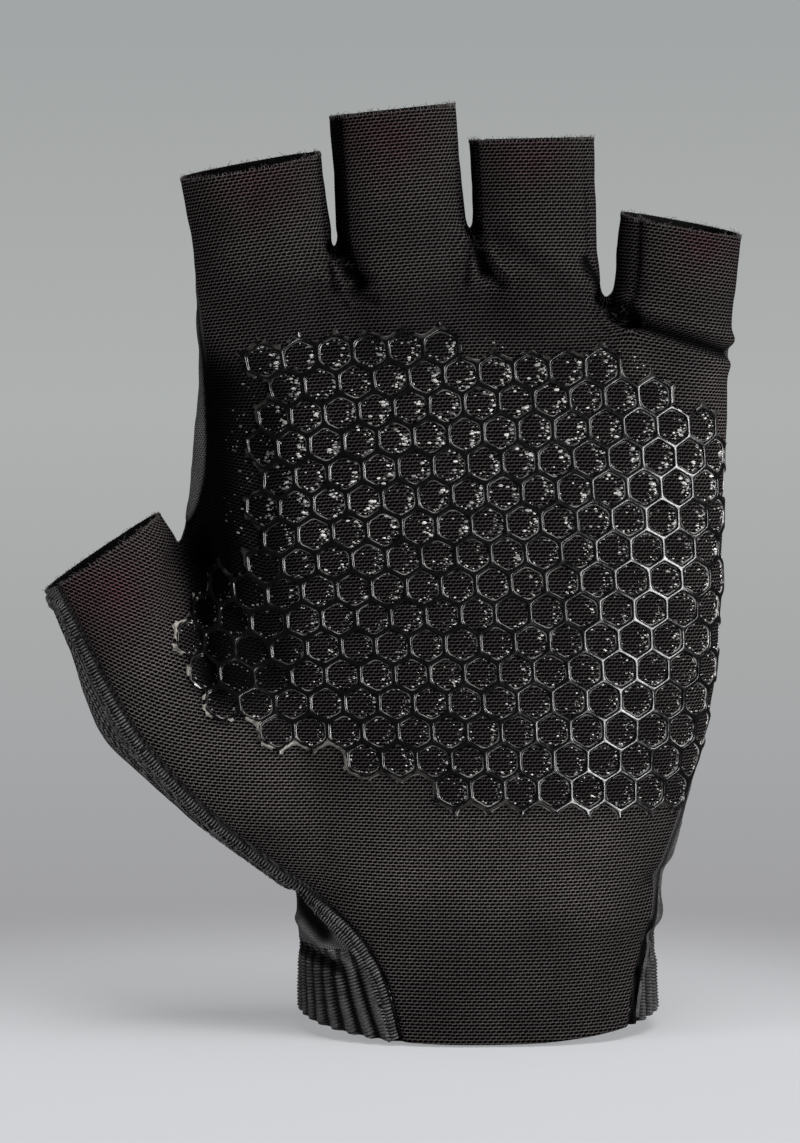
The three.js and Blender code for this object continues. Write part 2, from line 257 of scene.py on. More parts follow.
def web_rings(web):
    rings = []
    for row in WEB_SECTIONS:
        x, y = section(FINGER_SIDES, row["wide"], row["deep"], row["deep"])
        rings.append(np.stack([x + web["x"], y, np.full_like(x, web["z"] - row["below"])], 1))
    return rings


def tube(rings):
    """Points and faces of a closed tube through rings."""
    sides = len(rings[0])
    faces = []
    for r in range(len(rings) - 1):
        for s in range(sides):
            a, b = r * sides + s, r * sides + (s + 1) % sides
            faces.append((a, b, b + sides, a + sides))
    faces.append(tuple(range(sides))[::-1])
    last = (len(rings) - 1) * sides
    faces.append(tuple(range(last, last + sides)))
    return np.concatenate(rings), faces


def join_parts(parts):
    """One list of points and one of faces from several parts' own."""
    points, faces = [], []
    start = 0
    for p, f in parts:
        points.append(p)
        faces += [tuple(i + start for i in face) for face in f]
        start += len(p)
    return np.concatenate(points), faces


def turn_index_side_back(points):
    """The palm falls away steeply to its index side, over the thumb's web."""
    x, y, z = points.T
    level = between(z, *INDEX_FALL["levels"]) * (x > INDEX_FALL["left"])
    share = INDEX_FALL["share"] * smoothstep(-x, *INDEX_FALL["across"]) * level * (y < 0)
    return np.stack([x, y * (1 - share), z], 1)


def gap_middle(web, z):
    rise = (z - web["z"]) / (web["top_z"] - web["z"])
    return web["x"] + (web["top_x"] - web["x"]) * rise


def gap_shift(x, z):
    """How far the fingers move apart for the remesh, which would close their narrow gaps."""
    shift = np.zeros(len(x))
    for web in [*WEBS.values(), THUMB_NOTCH]:
        opened = smoothstep(z, web["z"] - GAP_START, web["z"])
        shift += opened * GAP_EXTRA / 2 * np.tanh((x - gap_middle(web, z)) / GAP_REACH)
    return shift


def spread_fingers(points):
    x, y, z = points.T
    return np.stack([x + gap_shift(x, z), y, z], 1)


def close_fingers(points):
    """Undoes spread_fingers by small steps."""
    x, y, z = points.T
    near = x.copy()
    for _ in range(CLOSING_STEPS):
        near += CLOSING_SHARE * (x - near - gap_shift(near, z))
    return np.stack([near, y, z], 1)


def new_mesh(name, points, faces):
    mesh = bpy.data.meshes.new(name)
    mesh.from_pydata((np.asarray(points) * MM).tolist(), [], faces)
    mesh.validate()
    mesh.update()
    return mesh


def new_object(name, mesh):
    obj = bpy.data.objects.new(name, mesh)
    bpy.context.scene.collection.objects.link(obj)
    return obj


def filled_form():
    """The whole outer form as points in millimetres and quads."""
    forms = [hand_rings()] + [finger_rings(rows) for rows in FINGER_ROWS.values()]
    forms += [web_rings(web) for web in WEBS.values()]
    points, faces = join_parts([tube(rings) for rings in forms])
    obj = new_object("form", new_mesh("form", spread_fingers(points), faces))
    remesh = obj.modifiers.new("remesh", "REMESH")
    remesh.mode = "VOXEL"
    remesh.voxel_size = VOXEL * MM
    graph = bpy.context.evaluated_depsgraph_get()
    mesh = bpy.data.meshes.new_from_object(obj.evaluated_get(graph), depsgraph=graph)
    bpy.data.objects.remove(obj)
    points = np.empty(len(mesh.vertices) * 3)
    mesh.vertices.foreach_get("co", points)
    return points.reshape(-1, 3) / MM, [tuple(p.vertices) for p in mesh.polygons]


def edge_pairs(faces):
    pairs = {tuple(sorted((f[i - 1], f[i]))) for f in faces for i in range(len(f))}
    return np.array(sorted(pairs))


def relax(points, edges, rounds):
    """Moves every point, or a value of it, halfway to its neighbours' middle several times."""
    count = np.bincount(edges.ravel(), minlength=len(points))[:, None]
    for _ in range(rounds):
        total = np.zeros_like(points)
        np.add.at(total, edges[:, 0], points[edges[:, 1]])
        np.add.at(total, edges[:, 1], points[edges[:, 0]])
        points = points + 0.5 * (total / count - points)
    return points


def triangles(faces):
    return np.array([(f[0], f[i], f[i + 1]) for f in faces for i in range(1, len(f) - 1)])


def vertex_normals(points, faces):
    tri = triangles(faces)
    a, b, c = points[tri[:, 0]], points[tri[:, 1]], points[tri[:, 2]]
    face = np.cross(b - a, c - a)
    total = np.zeros_like(points)
    for k in range(3):
        np.add.at(total, tri[:, k], face)
    return total / np.maximum(np.linalg.norm(total, axis=1, keepdims=True), 1e-12)


def smooth_normals(points, faces, rounds):
    """Normals that leave out the smallest bumps."""
    return unit(relax(unit(vertex_normals(points, faces)), edge_pairs(faces), rounds))


def bmesh_of(points, faces):
    bm = bmesh.new()
    verts = [bm.verts.new(p) for p in points]
    for f in faces:
        bm.faces.new([verts[i] for i in f])
    return bm


def taken_from(bm):
    """A bmesh's points and faces. The bmesh is freed."""
    bm.verts.index_update()
    points = np.array([v.co[:] for v in bm.verts])
    faces = [tuple(v.index for v in f.verts) for f in bm.faces]
    bm.free()
    return points, faces


def refine(points, faces):
    """Halves the faces near the fine folds."""
    bm = bmesh_of(points, faces)
    bm.edges.ensure_lookup_table()
    middles = np.array([((e.verts[0].co + e.verts[1].co) / 2)[:] for e in bm.edges])
    chosen = [bm.edges[i] for i in np.flatnonzero(near_fine_fold(middles))]
    bmesh.ops.subdivide_edges(bm, edges=chosen, cuts=1, use_grid_fill=True)
    return taken_from(bm)


# Distances that say which panel a point is on

def line_distance(xz, line):
    """Distance from points to an open line, seen from the front."""
    best = np.full(len(xz), 1e9)
    for a, b in zip(line[:-1], line[1:]):
        d = b - a
        t = np.clip(((xz - a) @ d) / (d @ d), 0, 1)
        best = np.minimum(best, np.linalg.norm(xz - a - t[:, None] * d, axis=1))
    return best


def stroke_distance(p, row):
    """Distance from the line of a table's row, which has both its ends."""
    return line_distance(p[:, [0, 2]], np.array([row["from"], row["to"]], float))


def spot_distance(p, x, z):
    """Distance from a spot seen from the front."""
    return np.linalg.norm(p[:, [0, 2]] - [x, z], axis=1)


def outline_distance(xz, outline):
    """Signed distance to a closed outline, negative inside."""
    closed = np.vstack([outline, outline[:1]])
    within = np.zeros(len(xz), bool)
    for a, b in zip(closed[:-1], closed[1:]):
        if a[1] == b[1]:
            continue
        spans = (a[1] > xz[:, 1]) != (b[1] > xz[:, 1])
        x = a[0] + (xz[:, 1] - a[1]) * (b[0] - a[0]) / (b[1] - a[1])
        within ^= spans & (xz[:, 0] < x)
    return np.where(within, -1, 1) * line_distance(xz, closed)


def palm_outline():
    thumb, little, index = [smooth_line(s) for s in (THUMB_SEAM, LITTLE_SEAM, INDEX_SEAM)]
    g = PAST_GLOVE
    corners = [(g["right"], little[-1][1]), (g["right"], g["top"]), (index[0][0], g["top"])]
    return np.vstack([thumb, little, corners, index, [g["crotch"], (g["left"], g["thumb"])]])


PALM_OUTLINE = palm_outline()


def palm_field(p):
    return np.maximum(outline_distance(p[:, [0, 2]], PALM_OUTLINE), p[:, 1])


def gusset_field(name):
    web, reach = WEBS[name], GUSSET_DEPTHS[name]

    def field(p):
        across = p[:, 0] - gap_middle(web, p[:, 2])
        low = web["z"] - GUSSET_REACH - p[:, 2]
        depth = reach["left"] + (reach["right"] - reach["left"]) * smoothstep(across, -2, 2)
        return np.maximum.reduce([np.abs(across) - GUSSET_REACH, low, np.abs(p[:, 1]) - depth])
    return field


def cuff_field(p):
    return p[:, 2] - CUFF_HEIGHT


def hem_field(p):
    dip = -HEM_DIP * np.clip(-p[:, 1] / HAND[0]["front"], 0, 1) ** 2
    return p[:, 2] - dip


def mouth_field(name):
    """Height over a finger's mouth, far below it away from that finger."""
    row = FINGERS[name][-1]
    turn = lean_matrix(row)

    def field(p):
        local = (p - [row["x"], row["y"], row["z"]]) @ turn
        near = np.abs(local[:, 0]) < row["wide"] + MOUTH_MARGIN
        return np.where(near & (local[:, 2] > MOUTH_FAR), local[:, 2], MOUTH_FAR)
    return field


# Cutting a mesh along the line where a field is nothing

ON_LINE = 1e-4
SLIVER = 0.06


def cut_along(bm, field):
    bm.verts.index_update()
    points = np.array([v.co[:] for v in bm.verts])
    value = field(points)
    value[np.abs(value) < ON_LINE] = ON_LINE
    ends = np.array([(e.verts[0].index, e.verts[1].index) for e in bm.edges])
    crossing = np.flatnonzero(value[ends[:, 0]] * value[ends[:, 1]] < 0)
    edges = list(bm.edges)
    fresh = []
    for i in crossing:
        a, b = ends[i]
        share = value[a] / (value[a] - value[b])
        fresh.append(bmesh.utils.edge_split(edges[i], edges[i].verts[0], share)[1])
    bmesh.ops.connect_verts(bm, verts=fresh)


def cut_form(points, faces):
    """The form without its mouths, cut along every seam, with a panel name for each face."""
    bm = bmesh_of(points, faces)
    fields = {"palm": palm_field, "cuff": cuff_field, "hem": hem_field}
    fields.update({name: gusset_field(name) for name in WEBS})
    mouths = [mouth_field(name) for name in FINGERS]
    for field in [*fields.values(), *mouths]:
        cut_along(bm, field)
    bmesh.ops.remove_doubles(bm, verts=bm.verts, dist=SLIVER)
    points, faces = taken_from(bm)
    middles = np.array([points[list(f)].mean(0) for f in faces])
    value = {name: field(middles) for name, field in fields.items()}
    gone = (value["hem"] < 0) | np.any([m(middles) > 0 for m in mouths], axis=0)
    panel = np.where(value["palm"] < 0, "palm_panel",
                     np.where(value["cuff"] < 0, "ribbed_cuff", "back_panel")).astype("U24")
    for name in WEBS:
        panel[value[name] < 0] = name
    panel[gone] = ""
    return points, faces, panel


# Folds and grooves of the cloth, and the shade and light painted on it

# A fold runs from one point to another as seen from the front, and stands out by its height, or
# dips where that is negative
FOLDS = table("from to width height", [
    # the crease under the little finger, and the ripples beside it
    ((23.6, 125.3), (44.5, 118.3), 1.0, -1.8),
    ((26.0, 127.4), (45.0, 120.8), 1.3, 0.7),
    ((26.0, 121.5), (44.0, 116.3), 1.3, 0.4),
    # the pit and puckers under the web between index and middle finger
    ((-24.9, 137.0), (-21.2, 131.0), 1.7, -2.5),
    ((-22.6, 129.0), (-18.5, 127.6), 0.8, -0.8),
    ((-24.6, 131.0), (-22.8, 127.0), 0.6, 0.7),
    ((-26.8, 134.5), (-25.4, 129.5), 0.7, -0.9),
    ((-28.0, 136.5), (-30.5, 131.5), 0.8, 0.6),
    # the same between middle and ring finger
    ((-0.9, 140.0), (0.9, 133.2), 1.2, -2.1),
    ((0.9, 133.2), (3.8, 130.8), 0.8, -1.2),
    ((1.6, 136.5), (5.2, 132.4), 0.6, 0.7),
    ((-1.9, 138.0), (-2.6, 131.0), 0.7, -0.8),
    ((6.5, 139.0), (15.5, 133.0), 2.0, 0.5),
    ((3.2, 139.0), (13.5, 131.2), 2.1, -0.6),
    ((5.0, 134.0), (12.0, 129.2), 2.0, 0.3),
    # the pit between ring and little finger, and the long tuck to its left
    ((22.4, 128.0), (26.8, 124.6), 1.4, -2.2),
    ((18.6, 134.5), (21.8, 129.0), 0.8, -1.1),
    ((26.5, 122.8), (29.5, 122.2), 0.7, 0.7),
    ((20.0, 130.0), (9.0, 132.0), 1.4, 0.5),
    # the valley where the thumb leaves the palm
    ((-51.5, 82.0), (-47.5, 60.0), 2.4, -2.0),
    # the dent and the rolled edge over the wristband on the thumb side
    ((-32.8, 20.6), (-28.0, 15.6), 1.6, -1.5),
    ((-32.2, 16.4), (-23.0, 10.2), 1.0, 0.75),
    ((-31.0, 12.0), (-25.4, 9.9), 1.0, -0.7),
    # notches over the wristband on the little-finger side
    ((31.0, 24.4), (35.5, 25.2), 1.5, -0.8),
    ((30.5, 13.6), (35.0, 14.2), 1.2, -0.9),
])
# Painted shade, where the cloth turns from the light or lies in its own shadow: lines seen from the
# front, how far each reaches and how dark it is. A negative one is painted light instead
PALM_PAINTED_SHADES = table("from to width dark", [
    # painted shade on the palm's steep fall over the thumb's web, and on the print's left part
    ((-50.0, 113.0), (-48.6, 84.5), 7.2, 0.95),
    ((-40.8, 110.0), (-40.0, 64.0), 8.0, 0.78),
    ((-46.5, 84.0), (-44.5, 60.0), 4.6, 0.78),
    # painted shade on the palm under the fingers, and on the fingers themselves
    ((-38.0, 124.5), (20.0, 123.5), 7.5, 0.42),
    ((-40.0, 146.0), (36.0, 142.0), 22.0, 0.1),
    # painted light on the heel of the hand and the ball of the thumb, which face the light
    ((-28.0, 31.0), (20.0, 28.0), 9.0, -0.52),
    ((-57.0, 57.0), (-42.0, 42.0), 9.0, -0.64),
    ((-68.0, 77.0), (-61.0, 66.0), 7.0, -0.2),
    ((46.5, 112.0), (40.5, 50.0), 7.5, -0.6),
    # painted shade on the strips between the fingers
    ((-25.6, 163.0), (-24.4, 137.0), 1.7, 0.95),
    ((-24.8, 137.0), (-22.2, 132.8), 1.05, 0.92),
    ((-0.9, 158.0), (-0.9, 142.0), 0.7, 0.5),
    ((-1.1, 141.0), (0.2, 135.6), 1.0, 0.85),
    ((18.6, 135.4), (22.4, 128.6), 0.55, 0.85),
    ((22.4, 128.6), (25.8, 124.4), 0.9, 0.9),
    ((25.0, 126.8), (27.2, 125.6), 1.1, 0.8),
    ((26.0, 148.0), (26.8, 130.0), 2.6, 0.35),
    ((26.0, 124.2), (44.0, 118.4), 0.55, 0.8),
    # painted shade in the open grooves at the seams' lower ends
    ((27.0, -6.0), (28.6, 8.1), 0.8, 0.98),
    ((28.6, 8.1), (31.2, 16.5), 0.85, 0.98),
    ((-17.2, 9.0), (-13.6, -5.0), 0.6, 0.95),
])
# Painted shade and light off the palm, in the same terms
BACK_PAINTED_SHADES = table("from to width dark", [
    # painted shade in the dent, and painted light on the rolled edge, over the wristband on the thumb
    # side
    ((-34.0, 21.6), (-27.6, 15.4), 1.7, 0.88),
    ((-31.5, 16.4), (-22.6, 9.8), 0.9, -0.9),
    ((-32.0, 11.4), (-24.8, 9.8), 1.3, 0.8),
    # painted shade in the open grooves again, and on the fold over the one on the little-finger side
    ((27.0, -6.0), (28.6, 8.1), 0.8, 0.98),
    ((28.6, 8.1), (30.4, 14.0), 0.85, 0.98),
    ((30.8, 14.8), (32.6, 21.5), 0.75, 0.95),
    ((-17.2, 9.0), (-13.6, -5.0), 0.6, 0.95),
])
# Folds under this width need a finer mesh, as do the seams, the thumb's gathers and the feet of the
# gaps between fingers, each within its own distance
FINE_FOLD = 2.0
FINE_NEAR = {"seam": 1.3, "thumb_seam": 9, "gap_foot": 5.5, "fold_widths": 2.2}
# Where a gap's puckers centre, right of and below its web, and their reach, size and height
GAP_FOOT = {"right": 1.5, "below": 4.5}
PUCKER_REACH = 4.0
PUCKER_SIZE = 1.5
PUCKER_HEIGHT = 0.42
# how light the puckers' lumps are painted
PUCKER_PAINTED_LIGHT = 0.65
# How much painted shade a crease gets, the depth where it stops growing, and how much a seam gets
CREASE_PAINTED_SHADE = 0.5
CREASE_DEEPEST = -1.8
SEAM_PAINTED_SHADE = 0.85
SEAM_PAINTED_SHADE_REACH = 0.4
SEAM_DIP = 0.7
SEAM_REACH = 0.55
# The gathers and the roll outside the thumb's welt: how far from the seam, how wide and high, and
# the levels between which they start, are full, fade and end
GATHER_PITCH = 1.5
GATHER_SLANT = 0.07
GATHER_SHIFT = 0.8
GATHERS = {"away": 5.5, "wide": 3.0, "high": 0.22, "levels": (14, 26, 70, 78)}
ROLL = {"away": 3.9, "wide": 0.9, "high": 0.6, "levels": (11, 16, 36, 50)}
# The cloth's own unevenness
UNEVEN = table("height size seed", [(0.16, 9.0, 0.0), (0.05, 3.0, 5.0)])


def fold_height(p, fold):
    share = bell(stroke_distance(p, fold), fold["width"])
    return fold["height"] * share * (1 - smoothstep(p[:, 1], -2, 3))


def seam_distance(p):
    fields = [palm_field] + [gusset_field(name) for name in WEBS]
    return np.min([np.abs(field(p)) for field in fields], axis=0)


def thumb_seam_distance(p):
    """Distance outwards from the thumb seam over the cloth, far where a point is on the palm."""
    beside = p[(np.abs(palm_field(p)) < 0.6) & (p[:, 1] < 0) & (p[:, 0] < -12)]
    order = np.argsort(beside[:, 2])
    seam_y = np.interp(p[:, 2], beside[order, 2], beside[order, 1])
    d = line_distance(p[:, [0, 2]], smooth_line(THUMB_SEAM))
    round_edge = np.maximum(p[:, 1] - seam_y, 0)
    d = np.hypot(d, round_edge) + 0.5 * round_edge * smoothstep(p[:, 1], -6, 4)
    return np.where((palm_field(p) > 0) & (p[:, 0] < 0) & (p[:, 1] < 8), d, 99)


def foot_distance(p, web):
    return spot_distance(p, web["x"] + GAP_FOOT["right"], web["z"] - GAP_FOOT["below"])


def near_fine_fold(p):
    """Whether a point is on or beside a fold too narrow for the cloth's own mesh."""
    near = (seam_distance(p) < FINE_NEAR["seam"]) & (p[:, 1] < 1)
    near |= thumb_seam_distance(p) < FINE_NEAR["thumb_seam"]
    for web in WEBS.values():
        near |= (foot_distance(p, web) < FINE_NEAR["gap_foot"]) & (p[:, 1] < 0)
    for fold in FOLDS:
        if fold["width"] < FINE_FOLD:
            reach = FINE_NEAR["fold_widths"] * fold["width"]
            near |= (stroke_distance(p, fold) < reach) & (p[:, 1] < 0)
    return near


def soft_noise(p, size, seed=0.0):
    """Smooth noise from about -1 to 1 with bumps of a given size."""
    out = [noise.noise(Vector((x, y, z)) / size + Vector((seed, 0, 0))) for x, y, z in p]
    return np.array(out) * 1.6


def puckers(p):
    """Small lumps in the cloth round the foot of each gap between fingers."""
    near = np.zeros(len(p))
    for web in WEBS.values():
        near = np.maximum(near, bell(foot_distance(p, web), PUCKER_REACH))
    return near * (1 - smoothstep(p[:, 1], -4, 0)) * soft_noise(p, PUCKER_SIZE, 9.0)


def painted_light_share(p):
    """The painted shade and light of each place of the cloth: the share of its colour that it keeps."""
    front = 1 - smoothstep(p[:, 1], -1, 4)
    palm = palm_field(p) < 0.1
    kept = np.ones(len(p))
    for shades, chosen in ((PALM_PAINTED_SHADES, palm), (BACK_PAINTED_SHADES, ~palm)):
        for shade in shades:
            reach = np.exp(-((stroke_distance(p, shade) / shade["width"]) ** 4))
            kept *= 1 - shade["dark"] * reach * front * chosen
    # painted shade in the creases
    for fold in FOLDS:
        if fold["height"] < 0:
            kept *= 1 + CREASE_PAINTED_SHADE * np.maximum(fold_height(p, fold), CREASE_DEEPEST)
    # painted light on the puckers' lumps and painted shade in their hollows
    lumps = puckers(p)
    lit = PUCKER_PAINTED_LIGHT * smoothstep(lumps, 0.08, 0.36)
    kept = np.maximum(kept * (1 + 0.6 * np.clip(lumps, -1, 0.4)), lit)
    # painted shade along the seams
    return kept * (1 - SEAM_PAINTED_SHADE * bell(seam_distance(p), SEAM_PAINTED_SHADE_REACH))


def gathers(p):
    """Long thin folds outside the thumb's welt, and the roll beside them nearer the wrist."""
    d = thumb_seam_distance(p)
    wave = np.sin(2 * np.pi * d / GATHER_PITCH + GATHER_SLANT * p[:, 2] + GATHER_SHIFT)
    return sum(
        row["high"] * shape * bell(d - row["away"], row["wide"]) * between(p[:, 2], *row["levels"])
        for row, shape in ((GATHERS, wave), (ROLL, 1.0))
    )


def cloth_relief(p):
    """How far the cloth stands out at each point."""
    total = -SEAM_DIP * bell(seam_distance(p), SEAM_REACH) + gathers(p) + PUCKER_HEIGHT * puckers(p)
    for fold in FOLDS:
        total += fold_height(p, fold)
    for row in UNEVEN:
        total += row["height"] * soft_noise(p, row["size"], row["seed"])
    return total


# Laying a panel out flat, so that its knit and its print run as they do in the cloth

# The knit's rows: how they fan out from a middle between two levels, where they turn to lie square
# to each finger, and where they turn to the thumb, past a slanted line on the palm
ROW_FAN = {"each": -0.0022, "middle": 15, "levels": (50, 118)}
FINGER_ROOT = {"level": 118, "drop": 8, "dropped": (20, 34), "high": 16}
FINGER_REACH = 9.0
THUMB_ROW_SLOPE = -0.42
THUMB_LINE = {"x": -45, "z": 60, "way": (-0.56, 0.83), "reach": 14, "below": 100, "left": -38}
# The wristband's ribs: their pitch and height, and their lean to the thumb seam within its reach
RIB_PITCH = 2.9
RIB_HEIGHT = 0.55
RIB_LEAN = -0.42
RIB_LEAN_REACH = 16.0
# How boxy a rib is, how far it is sunk and how light its furrows are in their painted shade, and where
# the ribs are lower: near the wristband's top, and at its left end, apart from the back
RIB_BOXY = 0.7
RIB_SINK = 0.15
FURROW_PAINTED_SHADE = 0.22
RIB_TOP = {"levels": (8.0, 10.6), "lower": 0.85}
RIB_LEFT = {"across": (25, 31), "behind": 8, "lower": 0.55}
FLAT_ROUNDS = 1500


def slope_of_rows(p):
    """How steeply the knit's rows climb to the right, seen from the front."""
    x, z = p[:, 0], p[:, 2]
    slope = ROW_FAN["each"] * (x - ROW_FAN["middle"]) * smoothstep(z, *ROW_FAN["levels"])
    share = np.zeros(len(p))
    total = np.zeros(len(p))
    for name in ("index", "middle", "ring", "little"):
        mouth = FINGERS[name][-1]
        near = bell(x - mouth["x"], FINGER_REACH)
        share += near
        total += near * -math.tan(math.radians(mouth["lean"]))
    start = FINGER_ROOT["level"] - FINGER_ROOT["drop"] * smoothstep(x, *FINGER_ROOT["dropped"])
    high = np.clip((z - start) / FINGER_ROOT["high"], 0, 1)
    slope = slope + high ** 2 * (3 - 2 * high) * (total / np.maximum(share, 1e-6) - slope)
    line = THUMB_LINE
    out = (x - line["x"]) * line["way"][0] + (z - line["z"]) * line["way"][1]
    thumb = smoothstep(out, -line["reach"], line["reach"]) * (z < line["below"]) * (x < line["left"])
    return slope + thumb * (THUMB_ROW_SLOPE - slope)


def leaning(lean):
    """Directions up that lean to the right by a share of their rise."""
    return np.stack([lean, np.zeros(len(lean)), np.ones(len(lean))], 1)


def rows_up(p):
    return leaning(-slope_of_rows(p))


def ribs_up(p):
    """The wristband's ribs lie along the thumb seam near it, and stand upright elsewhere."""
    low_end = np.array(THUMB_SEAM[:5:-1])
    seam_x = np.interp(p[:, 2], low_end[:, 1], low_end[:, 0])
    return leaning(RIB_LEAN * (bell(p[:, 0] - seam_x, RIB_LEAN_REACH) * (p[:, 1] < 0)))


def front_to_back(p):
    return np.tile([0.0, 1.0, 0.0], (len(p), 1))


def closest_values(edges, rises, count):
    """Values whose differences along the edges come closest to the given rises."""
    a, b = edges.T

    def gather(along):
        return np.bincount(b, along, count) - np.bincount(a, along, count)

    degree = np.bincount(edges.ravel(), minlength=count)
    value = np.zeros(count)
    rest = gather(rises)
    step = rest / degree
    size = first = rest @ step
    for _ in range(FLAT_ROUNDS):
        pushed = gather(step[b] - step[a])
        share = size / (step @ pushed)
        value += share * step
        rest -= share * pushed
        scaled = rest / degree
        new_size = rest @ scaled
        if new_size < 1e-11 * first:
            break
        step = scaled + new_size / size * step
        size = new_size
    return value


def lay_flat(points, faces, lead, lead_is_up=True):
    """Flat places of a panel's points in millimetres, with its rows or its width along x."""
    edges = edge_pairs(faces)
    normals = smooth_normals(points, faces, 6)
    lead = unit(lead - (lead * normals).sum(1, keepdims=True) * normals)
    ways = (np.cross(lead, normals), lead) if lead_is_up else (lead, np.cross(normals, lead))
    run = points[edges[:, 1]] - points[edges[:, 0]]
    flat = []
    for way in ways:
        rises = (run * (way[edges[:, 0]] + way[edges[:, 1]])).sum(1) / 2
        flat.append(closest_values(edges, rises, len(points)))
    return np.stack(flat, 1)


class Wrap:
    """Puts points of a flat layout back onto the worn cloth."""

    def __init__(self, points, faces, flat):
        self.tri = triangles(faces)
        self.points, self.flat = points, flat
        self.normals = unit(vertex_normals(points, faces))
        spots = [(u, v, 0) for u, v in flat]
        self.tree = BVHTree.FromPolygons(spots, self.tri.tolist())

    def holds(self, uv):
        """Whether places of the layout are on the cloth."""
        return np.array([self.tree.find_nearest((u, v, 0))[3] < 0.05 for u, v in uv])

    def place(self, uv, height):
        found = [self.tree.find_nearest((u, v, 0))[2] for u, v in uv]
        tri = self.tri[found]
        a, b, c = (self.flat[tri[:, k]] for k in range(3))
        ab, ac, ap = b - a, c - a, uv - a
        area = ab[:, 0] * ac[:, 1] - ab[:, 1] * ac[:, 0]
        area = np.where(np.abs(area) < 1e-9, 1e-9, area)
        wb = (ap[:, 0] * ac[:, 1] - ap[:, 1] * ac[:, 0]) / area
        wc = (ab[:, 0] * ap[:, 1] - ab[:, 1] * ap[:, 0]) / area
        share = np.clip(np.stack([1 - wb - wc, wb, wc], 1), 0, 1)
        share = (share / share.sum(1, keepdims=True))[:, :, None]
        at = (self.points[tri] * share).sum(1)
        normal = unit((self.normals[tri] * share).sum(1))
        return at + normal * np.reshape(height, (-1, 1))


# Cloth pieces

EDGE_SHARE = 0.45


def sub_mesh(points, faces, chosen):
    """The chosen faces with their own points, and which points those are."""
    picked = [f for f, keep in zip(faces, chosen) if keep]
    used = np.unique(np.concatenate([np.array(f) for f in picked]))
    new = np.full(len(points), -1)
    new[used] = np.arange(len(used))
    return points[used], [tuple(int(new[i]) for i in f) for f in picked], used


def smooth_shaded(mesh):
    mesh.polygons.foreach_set("use_smooth", np.ones(len(mesh.polygons), bool))


def add_uv(mesh, flat):
    corners = np.empty(len(mesh.loops), np.int32)
    mesh.loops.foreach_get("vertex_index", corners)
    layer = mesh.uv_layers.new(name="weave")
    layer.data.foreach_set("uv", flat[corners].astype(np.float32).ravel())


def add_values(mesh, values):
    """Named values for a mesh's points, which its material reads."""
    for name, value in dict(values).items():
        layer = mesh.attributes.new(name, "FLOAT", "POINT")
        layer.data.foreach_set("value", np.asarray(value, np.float32))


def wall_share(points):
    """The cloth thins out to its raw edge at each mouth."""
    inside = np.min([-mouth_field(name)(points) for name in FINGERS], axis=0)
    return EDGE_SHARE + (1 - EDGE_SHARE) * smoothstep(inside, 0.2, 2.5)


def cloth_piece(name, points, faces, flat, material, values):
    """A closed piece of cloth whose outer face is given."""
    mesh = new_mesh(name, points, faces)
    add_uv(mesh, flat)
    add_values(mesh, values)
    smooth_shaded(mesh)
    mesh.materials.append(material)
    mesh.materials.append(bpy.data.materials["cloth_inside"])
    obj = new_object(name, mesh)
    group = obj.vertex_groups.new(name="full_wall")
    for i, share in enumerate(wall_share(points)):
        group.add([i], float(share), "REPLACE")
    wall = obj.modifiers.new("wall", "SOLIDIFY")
    wall.thickness = WALL * MM
    wall.offset = -1
    wall.use_rim = True
    wall.vertex_group = "full_wall"
    wall.material_offset = 1
    wall.material_offset_rim = 0
    return obj


def finish_piece(obj, node):
    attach(obj, BODY)
    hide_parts(node)


# Materials

# Two knits with rows of small holes: pitch along and between rows, half width and height of a
# hole, and how far it tilts
MESH_KNIT = {"pitch": 0.945, "rows": 0.595, "half_wide": 0.46, "half_high": 0.235, "tilt": 0.10}
FINE_KNIT = {"pitch": 0.46, "rows": 0.42, "half_wide": 0.13, "half_high": 0.13, "tilt": 0.5}
HOLE_RIM = 1.75
UNDER_PRINT = 0.1
LENGTHWISE_PITCH = 0.62
RIB_STITCH = 0.58
SILICONE = (0.0015, 0.0015, 0.0017)
SILICONE_ROUGH = 0.235
# The threads' dark and light colours
THREAD_COLOURS = {
    "rib_thread": ((0.008, 0.008, 0.009, 1), (0.115, 0.115, 0.118, 1)),
    "welt_base": ((0.001, 0.001, 0.001, 1), (0.016, 0.0155, 0.0155, 1)),
    "seam_roll": ((0.012, 0.012, 0.012, 1), (0.085, 0.084, 0.086, 1)),
    "overlock_thread": ((0.012, 0.012, 0.012, 1), (0.17, 0.165, 0.163, 1)),
    "raw_edge_thread": ((0.01, 0.009, 0.009, 1), (0.12, 0.11, 0.108, 1)),
}


